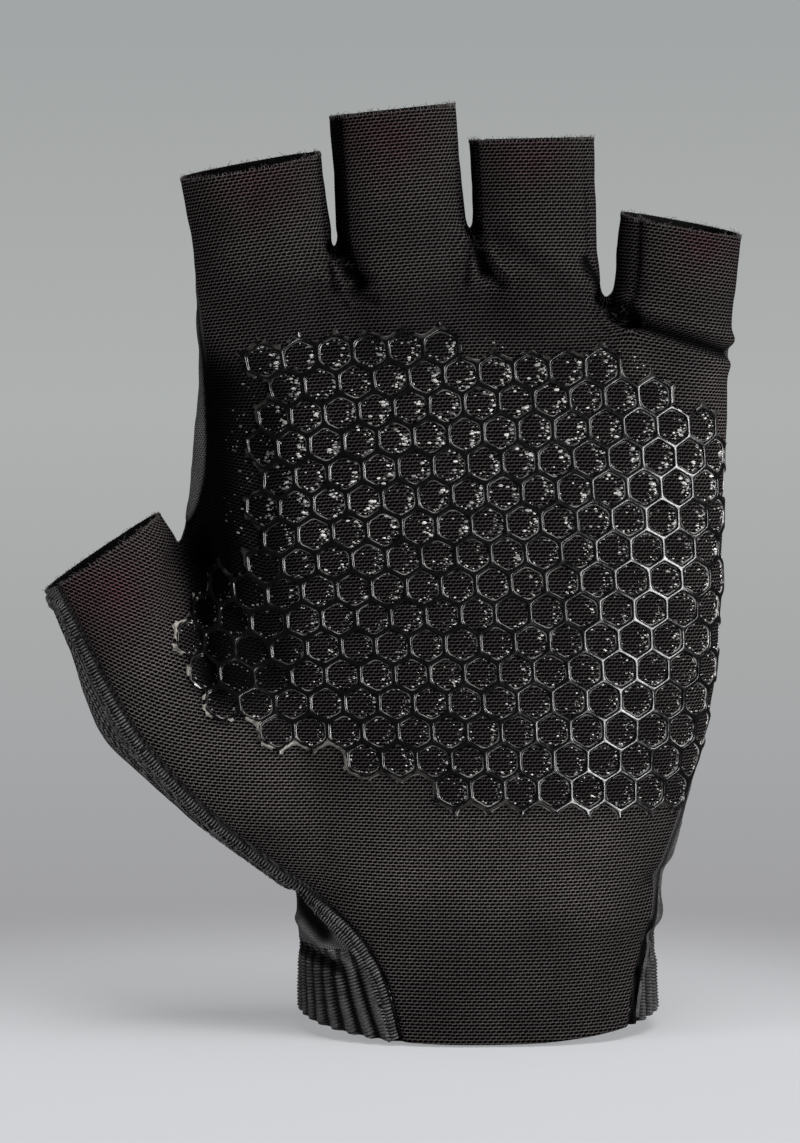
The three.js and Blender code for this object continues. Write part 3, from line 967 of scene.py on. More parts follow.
class Nodes:
    """A node tree with short ways to add nodes."""

    def __init__(self, tree):
        self.tree = tree

    def put(self, socket, value):
        if isinstance(value, bpy.types.NodeSocket):
            self.tree.links.new(value, socket)
        else:
            socket.default_value = value

    def add(self, kind, inputs=(), **settings):
        """A new node, with some of its inputs given by number or by name."""
        node = self.tree.nodes.new(kind)
        for key, value in settings.items():
            setattr(node, key, value)
        for key, value in dict(inputs).items():
            self.put(node.inputs[key], value)
        return node

    def math(self, operation, *values):
        return self.add("ShaderNodeMath", enumerate(values), operation=operation).outputs[0]

    def times(self, first, *others):
        for other in others:
            first = self.math("MULTIPLY", first, other)
        return first

    def plus(self, a, b):
        return self.math("ADD", a, b)

    def minus(self, a, b):
        return self.math("SUBTRACT", a, b)

    def smooth(self, value, low, high, to_low=0.0, to_high=1.0):
        values = enumerate((value, low, high, to_low, to_high))
        return self.add("ShaderNodeMapRange", values, interpolation_type="SMOOTHSTEP").outputs[0]

    def mix(self, share, a, b):
        values = {0: share, 6: a, 7: b}
        return self.add("ShaderNodeMix", values, data_type="RGBA", clamp_factor=False).outputs[2]

    def value_of(self, name):
        return self.add("ShaderNodeAttribute", attribute_name=name).outputs["Fac"]

    def noise(self, vector, scale, detail=2.0, rough=0.5):
        values = {"Vector": vector, "Scale": scale, "Detail": detail, "Roughness": rough}
        return self.add("ShaderNodeTexNoise", values).outputs["Fac"]

    def weave(self):
        """Places in the flat layout, in millimetres."""
        return self.add("ShaderNodeUVMap", uv_map="weave").outputs[0]

    def place(self):
        return self.add("ShaderNodeTexCoord").outputs["Object"]

    def parts(self, vector):
        return list(self.add("ShaderNodeSeparateXYZ", {0: vector}).outputs)


class Shader(Nodes):
    """A material's nodes."""

    def __init__(self, name):
        self.material = bpy.data.materials.new(name)
        self.material.use_nodes = True
        super().__init__(self.material.node_tree)
        self.surface = self.tree.nodes["Principled BSDF"]

    def bump(self, height, distance, strength):
        values = {"Strength": strength, "Distance": distance, "Height": height}
        self.put(self.surface.inputs["Normal"], self.add("ShaderNodeBump", values).outputs[0])

    def finish(self, **sockets):
        for name, value in sockets.items():
            self.put(self.surface.inputs[name.replace("_", " ")], value)
        return self.material


def centred(s, value, pitch, shift=0.0):
    """Distance from the middle of the repeat that a place is in, in millimetres."""
    cell = s.math("FRACT", s.plus(s.math("DIVIDE", value, pitch), shift))
    return s.times(s.minus(cell, 0.5), pitch)


def knit_holes(s, u, v, knit, rim=HOLE_RIM):
    """How far a place is inside a hole of a knit whose holes stand in staggered rows."""
    row = s.math("FLOOR", s.math("DIVIDE", v, knit["rows"]))
    du = centred(s, u, knit["pitch"], s.times(s.math("PINGPONG", row, 1.0), 0.5))
    dv = s.minus(centred(s, v, knit["rows"]), s.times(du, knit["tilt"]))
    across = s.math("POWER", s.math("ABSOLUTE", s.math("DIVIDE", du, knit["half_wide"])), 2.6)
    along = s.math("POWER", s.math("ABSOLUTE", s.math("DIVIDE", dv, knit["half_high"])), 2.0)
    return s.smooth(s.plus(across, along), 0.5, rim, 1.0, 0.0)


def mesh_knit():
    s = Shader("mesh_knit")
    vector = s.weave()
    u, v, _ = s.parts(vector)
    wander = s.times(s.minus(s.noise(vector, 0.9), 0.5), 0.16)
    rim = s.plus(s.times(s.value_of("print"), 0.9), HOLE_RIM)
    hole = knit_holes(s, s.plus(u, wander), s.plus(v, wander), MESH_KNIT, rim)
    thread = s.noise(vector, 4.0, 3.0, 0.6)
    patch = s.noise(s.place(), 90.0, 3.0)
    lit = s.times(s.smooth(thread, 0.3, 0.75, 0.45, 1.3), s.smooth(patch, 0.3, 0.7, 0.85, 1.1))
    under = s.minus(1.0, s.times(s.value_of("print"), UNDER_PRINT))
    yarn = s.mix(s.value_of("tint"), (0.108, 0.095, 0.093, 1), (0.126, 0.066, 0.074, 1))
    # kept is the painted shade and light that darkens or lightens the yarn
    yarn = s.mix(s.times(lit, under, s.value_of("kept")), (0.002, 0.002, 0.0022, 1), yarn)
    colour = s.mix(hole, yarn, (0.0005, 0.0005, 0.0006, 1))
    s.bump(s.minus(s.times(thread, 0.35), hole), 0.00014, 0.8)
    return s.finish(Base_Color=colour, Roughness=0.85, Specular_IOR_Level=0.04)


def cloth_inside():
    """The knit's reverse, painted near black as shade, since no light reaches it."""
    s = Shader("cloth_inside")
    thread = s.noise(s.weave(), 3.0, 2.0)
    s.bump(thread, 0.0001, 0.6)
    colour = s.mix(thread, (0.002, 0.002, 0.002, 1), (0.008, 0.0075, 0.0075, 1))
    return s.finish(Base_Color=colour, Roughness=0.9, Specular_IOR_Level=0.05)


def fine_knit():
    """The back's knit, with long fine lines beside the thumb's welt."""
    s = Shader("fine_knit")
    vector = s.weave()
    u, v, _ = s.parts(vector)
    hole = knit_holes(s, u, v, FINE_KNIT)
    thread = s.noise(vector, 5.0, 3.0, 0.6)
    patch = s.noise(s.place(), 140.0, 3.0)
    lit = s.times(s.smooth(thread, 0.3, 0.75, 0.5, 1.3), s.smooth(patch, 0.3, 0.7, 0.8, 1.1))
    line = s.math("COSINE", s.times(s.value_of("away"), 2 * math.pi / LENGTHWISE_PITCH))
    lines = s.times(s.smooth(line, -0.7, 0.8, -0.7, 0.65), s.value_of("lined"))
    # kept is the painted shade and light that darkens or lightens the yarn
    shade = s.times(lit, s.value_of("kept"), s.plus(lines, 1.0))
    yarn = s.mix(shade, (0.002, 0.002, 0.0025, 1), (0.118, 0.117, 0.12, 1))
    colour = s.mix(s.times(hole, 0.9), yarn, (0.0006, 0.0006, 0.0008, 1))
    s.bump(s.minus(s.times(thread, 0.6), hole), 0.0001, 0.8)
    return s.finish(Base_Color=colour, Roughness=0.8, Specular_IOR_Level=0.06)


def rib_knit():
    s = Shader("rib_knit")
    vector = s.weave()
    stitch = s.math("COSINE", s.times(s.parts(vector)[1], 2 * math.pi / RIB_STITCH))
    height = s.plus(s.times(stitch, 0.3), s.times(s.noise(vector, 4.0, 3.0, 0.6), 0.5))
    # rib is the painted shade in the furrows, and kept the painted shade and light of the cloth
    shade = s.times(s.smooth(height, -0.1, 0.6, 0.2, 1.1), s.value_of("rib"), s.value_of("kept"))
    colour = s.mix(shade, (0.0008, 0.0008, 0.001, 1), (0.085, 0.085, 0.088, 1))
    s.bump(height, 0.00014, 0.9)
    return s.finish(Base_Color=colour, Roughness=0.8, Specular_IOR_Level=0.06)


def silicone():
    """The ridges, pale at the print's fringe and filmy along their foot, which partly paints their rim
    highlights.
    """
    s = Shader("silicone")
    grain = s.noise(s.place(), 2200.0, 3.0, 0.6)
    wide = s.noise(s.place(), 400.0, 2.0)
    s.bump(s.plus(grain, s.times(wide, 1.5)), 0.00004, 0.22)
    rough = s.smooth(grain, 0.3, 0.7, SILICONE_ROUGH - 0.06, SILICONE_ROUGH + 0.08)
    lighter = tuple(c * 1.4 for c in SILICONE)
    colour = s.mix(s.smooth(wide, 0.35, 0.65), SILICONE + (1,), lighter + (1,))
    pale = s.times(s.value_of("fringe"), s.smooth(wide, 0.36, 0.54))
    colour = s.mix(pale, colour, (0.34, 0.32, 0.288, 1))
    # the pale film along the foot partly paints the highlight on each ridge's inner rim
    film = s.times(s.value_of("film"), s.smooth(s.noise(s.place(), 420.0, 3.0), 0.42, 0.64))
    colour = s.mix(film, colour, (0.2, 0.197, 0.19, 1))
    return s.finish(Base_Color=colour, Roughness=rough, Specular_IOR_Level=0.62)


def silicone_fleck():
    """Thin smears, pale partly as painted glints, which the cloth's painted shade darkens."""
    s = Shader("silicone_fleck")
    grain = s.noise(s.place(), 2200.0, 3.0, 0.6)
    s.bump(grain, 0.00004, 0.6)
    shade = s.times(s.value_of("pale"), s.smooth(grain, 0.3, 0.7, 0.6, 1.1))
    colour = s.mix(shade, (0.05, 0.05, 0.05, 1), (0.80, 0.79, 0.77, 1))
    return s.finish(Base_Color=colour, Roughness=0.45, Specular_IOR_Level=0.5)


def thread_look(name):
    s = Shader(name)
    twist = s.noise(s.place(), 3500.0, 3.0, 0.7)
    patch = s.noise(s.place(), 500.0, 2.0)
    shade = s.times(s.smooth(twist, 0.3, 0.7, 0.4, 1.2), s.smooth(patch, 0.3, 0.7, 0.55, 1.1))
    s.bump(twist, 0.00005, 0.8)
    colour = s.mix(shade, *THREAD_COLOURS[name])
    return s.finish(Base_Color=colour, Roughness=0.7, Specular_IOR_Level=0.15)


# The silicone honeycomb, laid out flat cell by cell and then put on the worn palm

HEX_PITCH = 6.16
HEX_ROW = HEX_PITCH * math.sqrt(3) / 2
RIDGE_HALF = 0.40
RIDGE_HEIGHT = 0.42
RIDGE_RAGGED = 0.16
# How far a shared ridge reaches round a cell past the print's edge, in degrees, and how pale the
# print's border is at least
SPUR = (30, 50)
FRINGE_LEAST = 0.08
CORNER_REACH = 1.085
CELL_STEPS = 42
KNOT_REACH = 2.4
# Points of one piece nearer than this become one
RIDGE_MERGE = 0.02
MERGE = 0.001
# Columns and rows from a cell to its neighbours, by the angle of the side between them
NEIGHBOURS = {0: (1, 0), 60: (0.5, -1), 120: (-0.5, -1), 180: (-1, 0), 240: (-0.5, 1), 300: (0.5, 1)}
# Across one half of a ridge: share of the way in from its middle, share of its height, and how
# much of the pale film along its foot shows, which partly paints the highlight on the ridge's inner rim
RIDGE_PROFILE = table("in high film", [
    (0.0, 1.0, 0), (0.45, 0.98, 0),
    (0.7, 0.88, 0), (0.88, 0.6, 0),
    (1.0, 0.25, 0.5), (1.14, 0.13, 1),
    (1.32, 0.06, 1), (1.42, -0.2, 1),
])
# The first and last whole cell of each row, from the top. Every other row is half a cell over
PRINT_ROWS = [
    (0, 5), (0.5, 9.5), (0, 11), (-0.5, 12.5), (0, 13), (-0.5, 13.5), (0, 13), (-0.5, 13.5), (-2, 13),
    (-2.5, 13.5), (-3, 13), (-2.5, 13.5), (-2, 13), (-0.5, 12.5), (2, 12), (4.5, 12.5),
]
# Where some of the cells lie, seen from the camera at the depth of the glove's middle
PRINT_KNOTS = table("column row x z", [
    (0, 0, -37.9, 116.7), (3, 0, -19.4, 119.0),
    (5, 0, -6.5, 119.1), (9.5, 1, 22.0, 115.5),
    (0, 2, -37.1, 106.5), (6, 2, 0.4, 109.6),
    (12, 2, 37.6, 110.7), (-0.5, 5, -39.1, 90.1),
    (2.5, 5, -20.4, 91.8), (6.5, 5, 4.4, 93.0),
    (11.5, 5, 35.8, 94.2), (-1, 8, -41.0, 75.6),
    (4, 8, -10.0, 75.9), (8, 8, 15.1, 76.6),
    (11, 8, 33.7, 77.6), (-1, 10, -40.0, 66.0),
    (-3, 10, -53.5, 64.8), (-2, 10, -46.4, 65.4),
    (4, 10, -9.2, 65.5), (8, 10, 16.0, 66.5),
    (11, 10, 34.0, 67.2), (-2, 12, -46.1, 55.8),
    (2, 12, -20.6, 55.2), (6, 12, 4.3, 54.9),
    (10, 12, 28.9, 55.8), (1, 14, -27.5, 45.0),
    (5, 14, -1.7, 44.4), (9, 14, 22.9, 44.7),
    (6.5, 15, 7.6, 38.9), (9.5, 15, 25.6, 39.3),
])


def lattice_terms(spots):
    c, r = (np.asarray(spots, float) / 10).T
    return np.stack([np.ones(len(c)), c, r, c * c, c * r, r * r, c * r * r, c * c * r], 1)


def seen_from_camera(points):
    """Where points appear in the upright plane through the glove's middle."""
    near = CAMERA_PLACE[1] / (CAMERA_PLACE[1] - points[:, 1])
    x = CAMERA_PLACE[0] + (points[:, 0] - CAMERA_PLACE[0]) * near
    return np.stack([x, CAMERA_PLACE[2] + (points[:, 2] - CAMERA_PLACE[2]) * near], 1)


class PrintChart:
    """Turns the honeycomb's columns and rows into places of the palm's flat layout."""

    def __init__(self, points, flat):
        front = points[:, 1] < -3
        seen, flat = seen_from_camera(points[front]), flat[front]
        spots = []
        for knot in PRINT_KNOTS:
            away = np.linalg.norm(seen - [knot["x"], knot["z"]], axis=1)
            near = np.argsort(away)[:6]
            share = 1 / (away[near] + 0.05)
            spots.append((flat[near] * share[:, None]).sum(0) / share.sum())
        self.knots = np.array([(knot["column"], knot["row"]) for knot in PRINT_KNOTS], float)
        terms = lattice_terms(self.knots)
        self.fit = np.linalg.lstsq(terms, np.array(spots), rcond=None)[0]
        self.left_over = np.array(spots) - terms @ self.fit

    def flat(self, cell, offsets):
        """Places in the flat layout of offsets, in millimetres, from a cell's centre."""
        spots = np.asarray(cell) + np.asarray(offsets) / [HEX_PITCH, -HEX_ROW]
        away = np.linalg.norm(spots[:, None] - self.knots[None], axis=2)
        share = bell(away, KNOT_REACH)
        share /= share.sum(1, keepdims=True) + 0.4
        return lattice_terms(spots) @ self.fit + share @ self.left_over


def whole_cells():
    """Column and row of each whole cell."""
    cells = []
    for row, (first, last) in enumerate(PRINT_ROWS):
        cells += [(first + k, row) for k in range(int(last - first) + 1)]
    return cells


def neighbour(cell, angle):
    return cell[0] + NEIGHBOURS[angle][0], cell[1] + NEIGHBOURS[angle][1]


def hex_rim():
    """A cell's outline and its rounded inner edge, as offsets from its centre."""
    apothem = HEX_PITCH / 2
    turn = 2 * np.pi * (np.arange(CELL_STEPS) + 0.5) / CELL_STEPS
    side = np.round(turn / (np.pi / 3)) * (np.pi / 3)
    reach = apothem / np.cos(turn - side)
    way = np.stack([np.cos(turn), np.sin(turn)], 1)
    inner = (apothem - RIDGE_HALF) / np.cos(turn - side)
    inner = np.minimum(inner, (apothem - RIDGE_HALF) * CORNER_REACH)
    return way * reach[:, None], way * inner[:, None]


def fringe_of(cell):
    """How pale the print's border is: most along its lower left edge."""
    column, row = cell
    paler = float(smoothstep(row - column, 9, 13) * (1 - smoothstep(column, -2, 3)))
    return FRINGE_LEAST + (1 - FRINGE_LEAST) * paler


def drawn_steps(cell, whole, rng):
    """Which steps round a cell have a ridge. Past the print's edge a cell has only the halves
    of the ridges that it shares, and short spurs."""
    turns = 360 * (np.arange(CELL_STEPS) + 0.5) / CELL_STEPS
    draw = np.full(CELL_STEPS, cell in whole)
    for angle in NEIGHBOURS:
        if neighbour(cell, angle) in whole:
            draw |= np.abs((turns - angle + 180) % 360 - 180) < rng.uniform(*SPUR)
    if cell not in whole and (cell[1] < 3 or cell[0] < 0):
        draw &= np.array([noise.noise(Vector((*cell, t / 25.0))) < 0.15 for t in turns])
    return draw


def honeycomb(wrap, chart):
    """The ridges' points and faces, and for each point its filmy rim, a partly painted highlight, and
    its fringe.
    """
    outer, inner = hex_rim()
    whole = set(whole_cells())
    border = {neighbour(cell, angle) for cell in whole for angle in NEIGHBOURS}
    rng = random.Random(11)
    spots, heights, film, fringe, faces = [], [], [], [], []
    for cell in sorted(whole | border):
        draw = drawn_steps(cell, whole, rng)
        start = len(spots) * CELL_STEPS
        places = outer + 9 * np.array(cell)
        ragged = np.array([noise.noise(Vector((x, z, 0)) * 0.7) for x, z in places])
        for level in RIDGE_PROFILE:
            share = level["in"] * (1 + RIDGE_RAGGED * ragged[:, None])
            spots.append(chart.flat(cell, outer + (inner - outer) * share))
            heights.append(np.full(CELL_STEPS, level["high"] * RIDGE_HEIGHT))
            film.append(np.full(CELL_STEPS, level["film"]))
            fringe.append(np.full(CELL_STEPS, 0.0 if cell in whole else fringe_of(cell)))
        for level in range(len(RIDGE_PROFILE) - 1):
            for step in range(CELL_STEPS):
                after = (step + 1) % CELL_STEPS
                if draw[step] and draw[after]:
                    a, b = start + level * CELL_STEPS + step, start + level * CELL_STEPS + after
                    faces.append((a, b, b + CELL_STEPS, a + CELL_STEPS))
    points = wrap.place(np.concatenate(spots), np.concatenate(heights))
    # the cloth's painted shade and light scale the film
    film = np.concatenate(film) * painted_light_share(points) ** 1.4
    return points, faces, {"film": film, "fringe": np.concatenate(fringe)}


# The smears in a cell and the small ones round its edge: from how many to how many, the middle and
# spread of their angle, and from how far to how far out they lie as a share of the room
CELL_FLECKS = {"count": (13, 24), "turn": (-10, 46), "out": (0.42, 0.98)}
EDGE_FLECKS = {"count": (7, 15), "turn": (-45, 85), "out": (0.8, 1.02)}
# The loose ones, and the cells past the print's edge where they lie
LOOSE_FLECKS = 90
LOOSE_CELLS = (
    (9.5, 0.6), (10.5, 1), (6.5, 0), (-0.5, 1), (-1, 2), (-1.5, 3), (-1, 4), (-1.5, 5), (-1, 6),
)
FLECK_SIDES = 7


def place_in_cell(kind, rng):
    turn = math.radians(rng.gauss(*kind["turn"]))
    reach = (HEX_PITCH / 2 - RIDGE_HALF) * rng.uniform(*kind["out"])
    return reach * math.cos(turn), reach * math.sin(turn)


def fleck_spots(rng):
    """Cells and places of the smears of silicone in them, most at a cell's right and foot."""
    for cell in whole_cells():
        strength = 0.62 + 0.38 * float(smoothstep(7.5 - cell[1], -2, 3))
        if cell[0] < 0 and cell[1] > 5:
            strength = 0.3
        for _ in range(int(strength * rng.randint(*CELL_FLECKS["count"]))):
            place = place_in_cell(CELL_FLECKS, rng)
            yield cell, place, strength * (rng.uniform(0.09, 0.17) + 0.2 * rng.random() ** 4)
        for _ in range(rng.randint(*EDGE_FLECKS["count"])):
            yield cell, place_in_cell(EDGE_FLECKS, rng), rng.uniform(0.07, 0.17)
    for _ in range(LOOSE_FLECKS):
        cell = rng.choice(LOOSE_CELLS)
        yield cell, (rng.gauss(0, 1.2), rng.gauss(0, 1.5)), rng.uniform(0.08, 0.3) * rng.random()


def flecks(wrap, chart):
    """Low uneven domes, longer along the knit's rows."""
    rng = random.Random(5)
    spots, heights, faces, pale = [], [], [], []
    sides = FLECK_SIDES
    for cell, (x, z), size in fleck_spots(rng):
        start = len(heights)
        long = 1.15 + 0.35 * min(1, size / 0.25)
        ring = []
        for share, high in ((1.0, -0.15), (0.72, 0.3)):
            for k in range(sides):
                reach = size * share * rng.uniform(0.75, 1.25)
                turn = k * 2 * math.pi / sides
                ring.append((x + long * reach * math.cos(turn), z + 0.85 * reach * math.sin(turn)))
                heights.append(high * size + 0.03)
        spots.append(chart.flat(cell, ring + [(x, z)]))
        heights.append(0.5 * size + 0.03)
        pale += [rng.random() ** 1.3] * (2 * sides + 1)
        for k in range(sides):
            a, b = start + k, start + (k + 1) % sides
            faces += [(a, b, b + sides, a + sides), (a + sides, b + sides, start + 2 * sides)]
    points = wrap.place(np.concatenate(spots), np.array(heights))
    # the cloth's painted shade and light darken a fleck's paleness
    return points, faces, {"pale": np.array(pale) * (0.2 + 0.8 * painted_light_share(points))}


def tidy_mesh(name, points, faces, values, merge):
    """A mesh without loose points, whose near points are one."""
    mesh = new_mesh(name, points, faces)
    add_values(mesh, values)
    bm = bmesh.new()
    bm.from_mesh(mesh)
    bmesh.ops.delete(bm, geom=[v for v in bm.verts if not v.link_faces], context="VERTS")
    bmesh.ops.remove_doubles(bm, verts=bm.verts, dist=merge * MM)
    bmesh.ops.recalc_face_normals(bm, faces=bm.faces)
    bm.to_mesh(mesh)
    bm.free()
    smooth_shaded(mesh)
    return mesh


# The overlock welts, as bands with slanted threads over them, along the seams

WELTS = {
    "thumb_seam_welt": {"seam": THUMB_SEAM, "start": 0.3, "wide": 2.5, "high": 0.4, "rows": 2},
    "little_seam_welt": {"seam": LITTLE_SEAM[:-1], "start": 0.75, "wide": 1.2, "high": 0.32, "rows": 0},
}
BAND_STEP = 0.5
BAND_SHARES = np.linspace(0, 1, 9)
BAND_SINK = 0.14
# The rows of threads over a welt: from and to which share of its width, and how far they lean
STITCH_PITCH = 0.6
STITCH_ROWS = table("low high lean", [(0.0, 0.47, 0.12), (0.53, 1.0, -0.08)])
THREAD_STEPS = 5
THREAD = 0.15
MISSED_STITCHES = 0.04
# A thread's hump over the welt, how far it and its tucked end are sunk, and how uneven threads are
STITCH_HUMP = 0.16
STITCH_SINK = 0.05
STITCH_TUCK = 0.18
STITCH_UNEVEN = {"length": 0.05, "lean": 0.06, "height": 0.04, "thick": (0.75, 1.2)}
# The thin chains beside it, down to a level near the wristband
CHAINS_PAST_WELT = (0.25, 0.8)
CHAIN_LINK = 4
CHAIN_THREAD = 0.10
CHAIN_END = 24.0


class Skin:
    """The worn cloth's outer face, for what is laid along a seam."""

    def __init__(self, points, faces):
        self.tri = triangles(faces)
        self.normals = smooth_normals(points, faces, 3)
        self.tree = BVHTree.FromPolygons(points.tolist(), self.tri.tolist())

    def nearest(self, spots):
        """The cloth's closest places, and its directions outwards there."""
        found = [self.tree.find_nearest(spot) for spot in spots]
        out = self.normals[self.tri[[hit[2] for hit in found]]].mean(1)
        return np.array([hit[0][:] for hit in found]), unit(out)

    def from_front(self, line):
        """A line seen from the front, on the cloth, or on its side where the line misses it."""
        out = []
        for x, z in line:
            hit = self.tree.ray_cast((x, -60, z), (0, 1, 0))[0]
            if hit is None or hit.y > 0:
                if z < CUFF_HEIGHT:
                    continue
                hit = self.tree.find_nearest((x, 0, z))[0]
            out.append(hit[:])
        return np.array(out)


def along_seam(skin, seam, pitch):
    """Even steps along a seam: places on the cloth, the way ahead and the way from the palm."""
    line = skin.from_front(smooth_line(seam, 8))
    for _ in range(4):
        line[1:-1] = (line[:-2] + 2 * line[1:-1] + line[2:]) / 4
    line = line[(hem_field(line) > 0.3) & (mouth_field("thumb")(line) < -0.3)]
    run = np.concatenate([[0], np.cumsum(np.linalg.norm(np.diff(line, axis=0), axis=1))])

    def at(places):
        return np.stack([np.interp(places, run, line[:, k]) for k in range(3)], 1)

    steps = np.arange(pitch / 2, run[-1], pitch)
    ahead = unit(at(steps + 1.0) - at(steps - 1.0))
    spots, out = skin.nearest(at(steps))
    side = np.cross(ahead, out)
    if (palm_field(spots + side) > palm_field(spots - side)).mean() < 0.5:
        side = -side
    return spots, ahead, side


def over_cloth(skin, spots, rise):
    at, out = skin.nearest(spots)
    return at + out * np.reshape(rise, (-1, 1))


def welt_rise(welt, share):
    return welt["high"] * np.sin(np.pi * np.clip(share, 0.04, 0.96)) ** 0.5


def band(skin, welt):
    """The welt's own body, under its threads."""
    spots, _, side = along_seam(skin, welt["seam"], BAND_STEP)
    n = len(spots)
    rows = []
    for share in BAND_SHARES:
        away = welt["start"] + welt["wide"] * share
        rise = welt_rise(welt, share) - BAND_SINK
        rows.append(over_cloth(skin, spots + side * away, np.full(n, rise)))
    first = [k * n + i for k in range(len(BAND_SHARES) - 1) for i in range(n - 1)]
    return np.concatenate(rows), [(a, a + 1, a + n + 1, a + n) for a in first]


def thread_tubes(paths, radius, sides):
    """Closed tubes along several paths, all of one radius or each of its own."""
    turn = 2 * np.pi * np.arange(sides)[None, :, None] / sides
    parts = []
    for path, thick in zip(paths, np.broadcast_to(radius, len(paths))):
        ahead = unit(np.gradient(path, axis=0))
        side = unit(np.cross(ahead, np.array([0.3, 1.0, 0.2])))
        ring = side[:, None] * np.cos(turn) + np.cross(side, ahead)[:, None] * np.sin(turn)
        parts.append(tube(path[:, None] + ring * thick))
    return join_parts(parts)


def overlock(skin, welt):
    """Threads over the welt in rows, and two thin chains beside them."""
    rng = random.Random(3)
    spots, ahead, side = along_seam(skin, welt["seam"], STITCH_PITCH)
    start, wide = welt["start"], welt["wide"]
    paths, radii = [], []
    steps = np.linspace(0, 1, THREAD_STEPS)
    for row in STITCH_ROWS[:welt["rows"]]:
        for spot, way, out in zip(spots, ahead, side):
            longer, slanter, higher = (
                STITCH_UNEVEN[kind] * rng.uniform(-1, 1) for kind in ("length", "lean", "height")
            )
            shares = np.linspace(row["low"], row["high"] + longer, THREAD_STEPS)
            slip = (row["lean"] + slanter) * steps
            hump = STITCH_HUMP * np.sin(np.pi * steps) - STITCH_SINK + higher
            hump[0] -= STITCH_TUCK
            if rng.random() > MISSED_STITCHES:
                route = spot + np.outer(start + wide * shares, out) + np.outer(slip, way)
                paths.append(over_cloth(skin, route, welt_rise(welt, shares) + hump))
                radii.append(THREAD * rng.uniform(*STITCH_UNEVEN["thick"]))
    n = CHAIN_LINK + 1
    for past in CHAINS_PAST_WELT:
        away = start + wide + past
        for k in range(0, len(spots) - CHAIN_LINK, CHAIN_LINK):
            if spots[k + CHAIN_LINK, 2] < CHAIN_END:
                continue
            wave = 0.06 * np.sin(np.arange(n) * np.pi / 2 + away)
            route = spots[k:k + n] + side[k:k + n] * (away + wave)[:, None]
            paths.append(over_cloth(skin, route, np.full(n, 0.04)))
            radii.append(CHAIN_THREAD)
    return thread_tubes(paths, np.array(radii), 5)


# The raw edges at the mouths: thin threads over them, and fuzz

FUZZ_COUNT = 170
FUZZ = 0.032
EDGE_THREADS = 115
EDGE_THREAD = 0.06
# An edge thread's way over the rim: up out of the mouth, as a share of 1 mm, and outwards
EDGE_ROUTE = ((-0.2, 0.06), (0.04, 0.0), (0.0, -0.25), (-0.4, -0.45))


def mouth_rim(points, name):
    """A mouth's rim in order round it, with the ways up out of the mouth and out from its middle."""
    row = FINGERS[name][-1]
    turn = lean_matrix(row)
    rim = points[np.abs(mouth_field(name)(points)) < 0.02]
    local = (rim - [row["x"], row["y"], row["z"]]) @ turn
    order = np.argsort(np.arctan2(local[:, 1], local[:, 0]))
    flat_out = unit(local[order] * [1, 1, 0])
    return rim[order], np.tile(turn[:, 2], (len(rim), 1)), flat_out @ turn.T


def edge_threads(points, name, rng):
    """Thin threads that wrap over the rim, a little over one to a millimetre."""
    rim, up, out = mouth_rim(points, name)
    paths = []
    for i in range(0, len(rim), max(1, round(len(rim) / EDGE_THREADS))):
        low = 0.3 + 0.5 * rng.random() ** 2
        route = ((-low, 0.0),) + EDGE_ROUTE
        paths.append(np.array([rim[i] + up[i] * rise + out[i] * away for rise, away in route]))
    return paths


def mouth_fuzz(points, name, rng):
    """Short loose hairs that stand up from the rim."""
    rim, up, out = mouth_rim(points, name)
    paths = []
    for _ in range(FUZZ_COUNT):
        i = rng.randrange(len(rim))
        along = np.cross(up[i], out[i])
        length = 0.25 + 0.75 * rng.random() ** 2
        way = up[i] + out[i] * rng.uniform(-0.9, 0.7) + along * rng.uniform(-1.2, 1.2)
        curl = along * rng.uniform(-0.5, 0.5) - up[i] * rng.uniform(0.0, 0.5)
        start = rim[i] - up[i] * 0.15
        paths.append(np.array([start + (way * t + curl * t * t) * length for t in (0, 0.35, 0.7, 1.0)]))
    return paths


def mouth_fringe(points):
    rng = random.Random(23)
    threads, hairs = [], []
    for name in FINGERS:
        threads += edge_threads(points, name, rng)
        hairs += mouth_fuzz(points, name, rng)
    return join_parts([thread_tubes(threads, EDGE_THREAD, 5), thread_tubes(hairs, FUZZ, 3)])


# The wristband's knit strokes across each rib

STROKE_PITCH = 0.6
STROKE_REACH = 0.95
STROKE_ROOM = 1.1
STROKE_THREAD = 0.15


def rib_strokes(points, faces, flat):
    """Small threads over every rib, one above the other."""
    wrap = Wrap(points, faces, flat)
    rng = random.Random(31)
    low, high = flat.min(0), flat.max(0)
    starts = []
    for rib in range(math.ceil(low[0] / RIB_PITCH), math.floor(high[0] / RIB_PITCH) + 1):
        for v in np.arange(low[1] + 0.3, high[1] - 0.3, STROKE_PITCH):
            starts.append((rib * RIB_PITCH, v))
    reach = np.linspace(-STROKE_REACH, STROKE_REACH, 5)
    ends = np.array([(u + side, v) for u, v in starts for side in (-STROKE_ROOM, STROKE_ROOM)])
    held = wrap.holds(ends).reshape(-1, 2).all(1)
    paths = []
    for (u, v), fits in zip(starts, held):
        if fits:
            lift = 0.05 + 0.05 * np.cos(reach * 1.5) + 0.02 * rng.uniform(-1, 1)
            bow = v + 0.16 * np.abs(reach) + 0.04 * rng.uniform(-1, 1)
            paths.append(wrap.place(np.stack([u + reach, bow], 1), lift))
    every = np.concatenate(paths)
    # strokes are left out where the painted shade is deep
    clear = np.minimum(palm_field(every) - 0.8, painted_light_share(every) - 0.5) > 0
    free = clear.reshape(-1, len(reach)).all(1)
    return thread_tubes([path for path, keep in zip(paths, free) if keep], STROKE_THREAD, 4)


# Putting the glove together

# Where the knit has a warmer cast, seen from the front
WARM_SPOTS = table("x z reach", [
    (-39.2, 149.5, 7.0), (-15.8, 157.5, 7.5),
    (8.5, 155.0, 6.0), (40.0, 139.0, 6.0),
    (-65.5, 77.0, 9.0),
])


